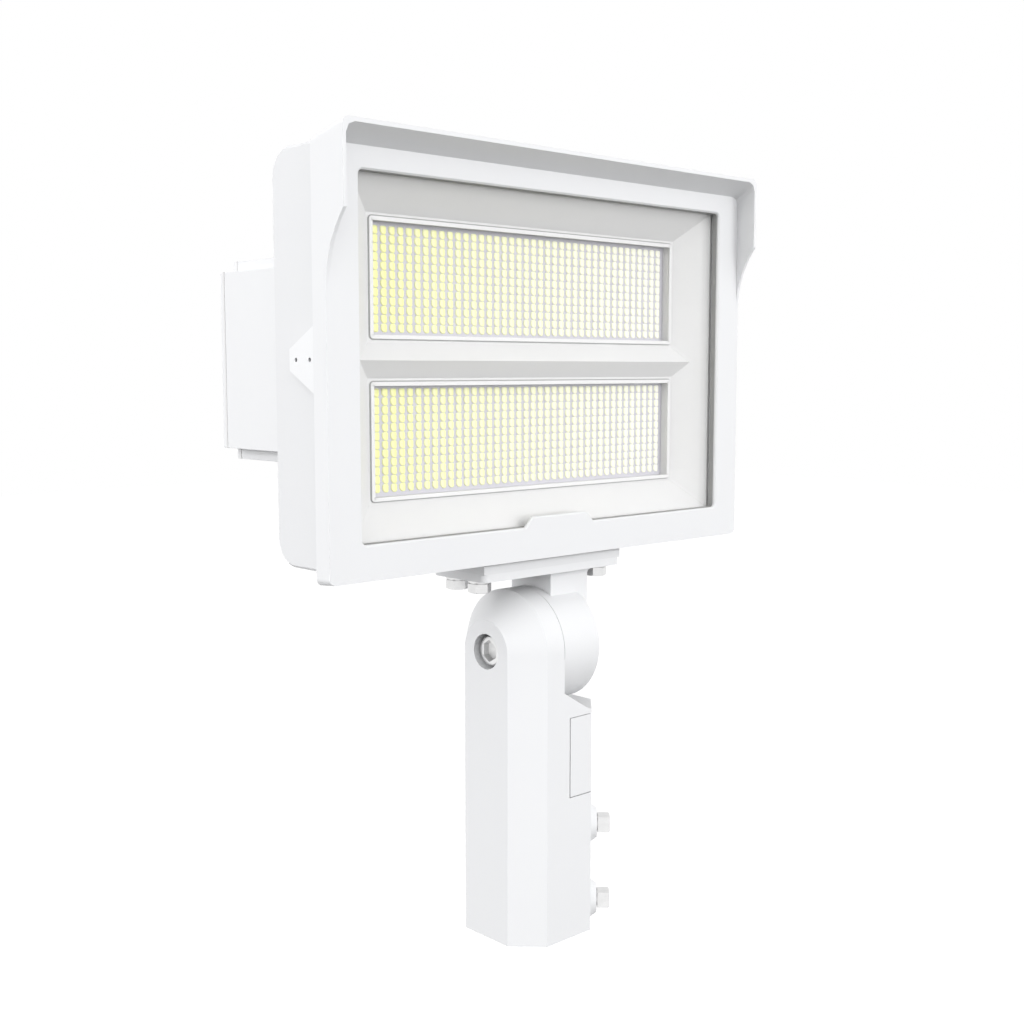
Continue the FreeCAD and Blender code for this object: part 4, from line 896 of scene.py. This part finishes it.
# The head's height on the CAD solid finds the bolt's seat.
FLANGE_SOLID_HEAD = 5.3
FLANGE_HEAD_HEIGHT = 6.5
FLANGE_HALF_FLATS = 6.5
FLANGE_SHANK = 4.0
FLANGE_WASHER_INNER = 4.5
FLANGE_WASHER_OUTER = 7.3
FLANGE_WASHER_THICKNESS = 1.6


def make_flange_bolts():
    """Hexagon bolts and washers under the knuckle's flange."""
    bolts = bmesh.new()
    for place, length in seats("flange_bolts", DOWN, FLANGE_SOLID_HEAD):
        hex_bolt(bolts, place, FLANGE_HALF_FLATS, FLANGE_HEAD_HEIGHT, FLANGE_SHANK, length)
    make_piece("flange_hex_bolts", bolts, "head", STAINLESS, replaced=("flange_bolts",))
    rings = bmesh.new()
    for place, _ in seats("flange_washers", DOWN, FLANGE_WASHER_THICKNESS):
        washer(rings, place, FLANGE_WASHER_INNER, FLANGE_WASHER_OUTER, FLANGE_WASHER_THICKNESS)
    make_piece(
        "flange_round_washers", rings, "head", STAINLESS, replaced=("flange_washers",),
    )


# Pivot

PIVOT_HEAD = 9.8
PIVOT_HEAD_HEIGHT = 12.0
PIVOT_CROWN = 0.1
PIVOT_SHANK = 6.0
PIVOT_SOCKET = 5.8
PIVOT_BORE = 6.2
PIVOT_WASHER_OUTER = 12.0
PIVOT_WASHER_THICKNESS = 2.5
NUT_HEIGHT = 10.0
NUT_HALF_FLATS = 9.0
NUT_CHAMFER = 0.5
NUT_COUNTERSINK = 0.8


def make_pivot_bolt():
    """The bolt through the knuckle, with its hexagon socket."""
    bm = bmesh.new()
    for place, length in seats("pivot_bolt", LEFT, PIVOT_HEAD_HEIGHT):
        socket_screw(
            bm, place, PIVOT_HEAD, PIVOT_HEAD_HEIGHT, PIVOT_SHANK, length, PIVOT_SOCKET, crown=PIVOT_CROWN,
        )
    make_piece("pivot_socket_bolt", bm, "arm", STAINLESS, replaced=("pivot_bolt",))


def make_pivot_washer():
    """The washer under the pivot's nut."""
    bm = bmesh.new()
    for place, _ in seats("pivot_washer", RIGHT, PIVOT_WASHER_THICKNESS):
        washer(bm, place, PIVOT_BORE, PIVOT_WASHER_OUTER, PIVOT_WASHER_THICKNESS)
    make_piece("pivot_round_washer", bm, "arm", STAINLESS, replaced=("pivot_washer",))


def make_pivot_nut():
    """The chamfered nut at the pivot bolt's end, with a countersunk bore."""
    rim = NUT_HALF_FLATS - NUT_CHAMFER
    mouth = PIVOT_BORE + NUT_COUNTERSINK
    rings = (
        disc(PIVOT_BORE, NUT_COUNTERSINK),
        disc(mouth, 0),
        disc(rim, 0),
        hexagon(NUT_HALF_FLATS, NUT_CHAMFER, -CORNER_DROP),
        hexagon(NUT_HALF_FLATS, NUT_HEIGHT - NUT_CHAMFER, CORNER_DROP),
        disc(rim, NUT_HEIGHT),
        disc(mouth, NUT_HEIGHT),
        disc(PIVOT_BORE, NUT_HEIGHT - NUT_COUNTERSINK),
    )
    bm = bmesh.new()
    for place, _ in seats("pivot_nut", RIGHT, NUT_HEIGHT):
        skin_rings(bm, rings, place, closed=True)
    make_piece("pivot_hex_nut", bm, "arm", STAINLESS, replaced=("pivot_nut",))


# Wire grommet

GROMMET_BORE = 2.5
GROMMET_BORE_EASE = 0.6
GROMMET_GROOVE = 4.9
GROMMET_FLANGE = 6.5
GROMMET_FLANGE_EASE = 0.5
GROMMET_LIP = 1.0


def make_grommet():
    """Rubber grommet round the wires' hole in the housing floor, with a groove for the floor's edge."""
    mouth = GROMMET_BORE + GROMMET_BORE_EASE
    brim = GROMMET_FLANGE - GROMMET_FLANGE_EASE
    bm = bmesh.new()
    for place, length in seats("wire_grommet", BACK, 0.0):
        skin_rings(bm, (
            disc(GROMMET_BORE, -length + GROMMET_BORE_EASE),
            disc(mouth, -length),
            disc(brim, -length),
            disc(GROMMET_FLANGE, -length + GROMMET_FLANGE_EASE),
            disc(GROMMET_FLANGE, -length + GROMMET_LIP),
            disc(GROMMET_GROOVE, -length + GROMMET_LIP),
            disc(GROMMET_GROOVE, -GROMMET_LIP),
            disc(GROMMET_FLANGE, -GROMMET_LIP),
            disc(GROMMET_FLANGE, -GROMMET_FLANGE_EASE),
            disc(brim, 0),
            disc(mouth, 0),
            disc(GROMMET_BORE, -GROMMET_BORE_EASE),
        ), place, closed=True)
    make_piece("wire_sleeve", bm, "head", GASKET_RUBBER, replaced=("wire_grommet",))


# Set screws

SET_AXIS = Vector((1, -1, 0)).normalized()
# Heights of the tip and of the head's seat are measured from the pole's axis.
SET_TIP = 30.9
SET_SEAT = 45.87
SET_RADIUS = 6.0
SET_TIP_RADIUS = 4.5
SET_COLLAR = 4.6
SET_COLLAR_HEIGHT = 0.2
SET_HEAD_HALF = 5.2
SET_HEAD_HEIGHT = 8.4
SET_FOOT_EASE = 0.4
SET_TOP_EASE = 1.0
SET_TOP_SHOULDER = 0.3
THREAD_PITCH = 1.75
THREAD_DEPTH = 0.6
THREAD_TURNS = 7


def set_screw_rings():
    """A set screw from its tip up: the thread's valleys and crests, a round collar and the square head."""
    rings = [disc(SET_TIP_RADIUS, SET_TIP)]
    for turn in range(THREAD_TURNS):
        height = SET_SEAT - (THREAD_TURNS - turn) * THREAD_PITCH
        rings.append(disc(SET_RADIUS - THREAD_DEPTH, height))
        rings.append(disc(SET_RADIUS, height + THREAD_PITCH / 2))
    top = SET_SEAT + SET_HEAD_HEIGHT
    return rings + [
        disc(SET_COLLAR, SET_SEAT - SET_COLLAR_HEIGHT),
        disc(SET_COLLAR, SET_SEAT),
        square(SET_HEAD_HALF - SET_FOOT_EASE, SET_SEAT),
        square(SET_HEAD_HALF, SET_SEAT + SET_FOOT_EASE),
        square(SET_HEAD_HALF, top - SET_TOP_EASE),
        square(SET_HEAD_HALF - SET_TOP_SHOULDER, top - SET_TOP_SHOULDER),
        square(SET_HEAD_HALF - SET_TOP_EASE, top),
    ]


def make_set_screws():
    """Square-head set screws with a threaded shank and a chamfered tip."""
    for label in ("upper", "lower"):
        node = f"set_screw_{label}"
        low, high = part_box(node)
        height = (low.z + high.z) / 2 / MM
        bm = bmesh.new()
        skin_rings(bm, set_screw_rings(), seated(UP * height, SET_AXIS))
        make_piece(f"square_head_screw_{label}", bm, node, STAINLESS, replaced=(node,))


make_chips()
make_rims()
make_driver_seal()
for screw_values in SOCKET_SCREWS:
    dress_screws(*screw_values)
make_flange_bolts()
make_pivot_bolt()
make_pivot_washer()
make_pivot_nut()
make_grommet()
make_set_screws()


# CAD nodes

# Each node with its finish and the width of its rounded edges.
COATED_NODES = (
    ("slip_fitter_arm", WHITE_COAT, 1.0),
    ("wiring_cover", WHITE_COAT, 0.8),
    ("knuckle_bracket", WHITE_COAT, 0.9),
    ("driver_box", WHITE_COAT, 0.35),
    ("bezel_frame", WHITE_COAT, 0.5),
    ("driver_cover", WHITE_COAT, 0.35),
    ("housing", HOUSING_COAT_PAINTED_SHADE_AND_LIGHT, 0.7),
    ("driver_unit", DRIVER_CASE, 0.6),
    ("surge_protector", SURGE_CASE, 0.6),
    ("wiring_cover_gasket", GASKET_RUBBER, 0.0),
    ("lens_gasket", GREY_RUBBER_AND_GROOVE_SHADOW, 0.0),
    ("flange_gasket", PALE_SILICONE, 0.0),
    ("bezel_gasket", PALE_SILICONE, 0.0),
    ("led_board_upper", BOARD_MASK, 0.0),
    ("led_board_lower", BOARD_MASK, 0.0),
    ("reflector", REFLECTOR_WHITE, 0.0),
    ("lens_glass", LENS_GLASS, 0.0),
)
for node_values in COATED_NODES:
    coat_node(*node_values)
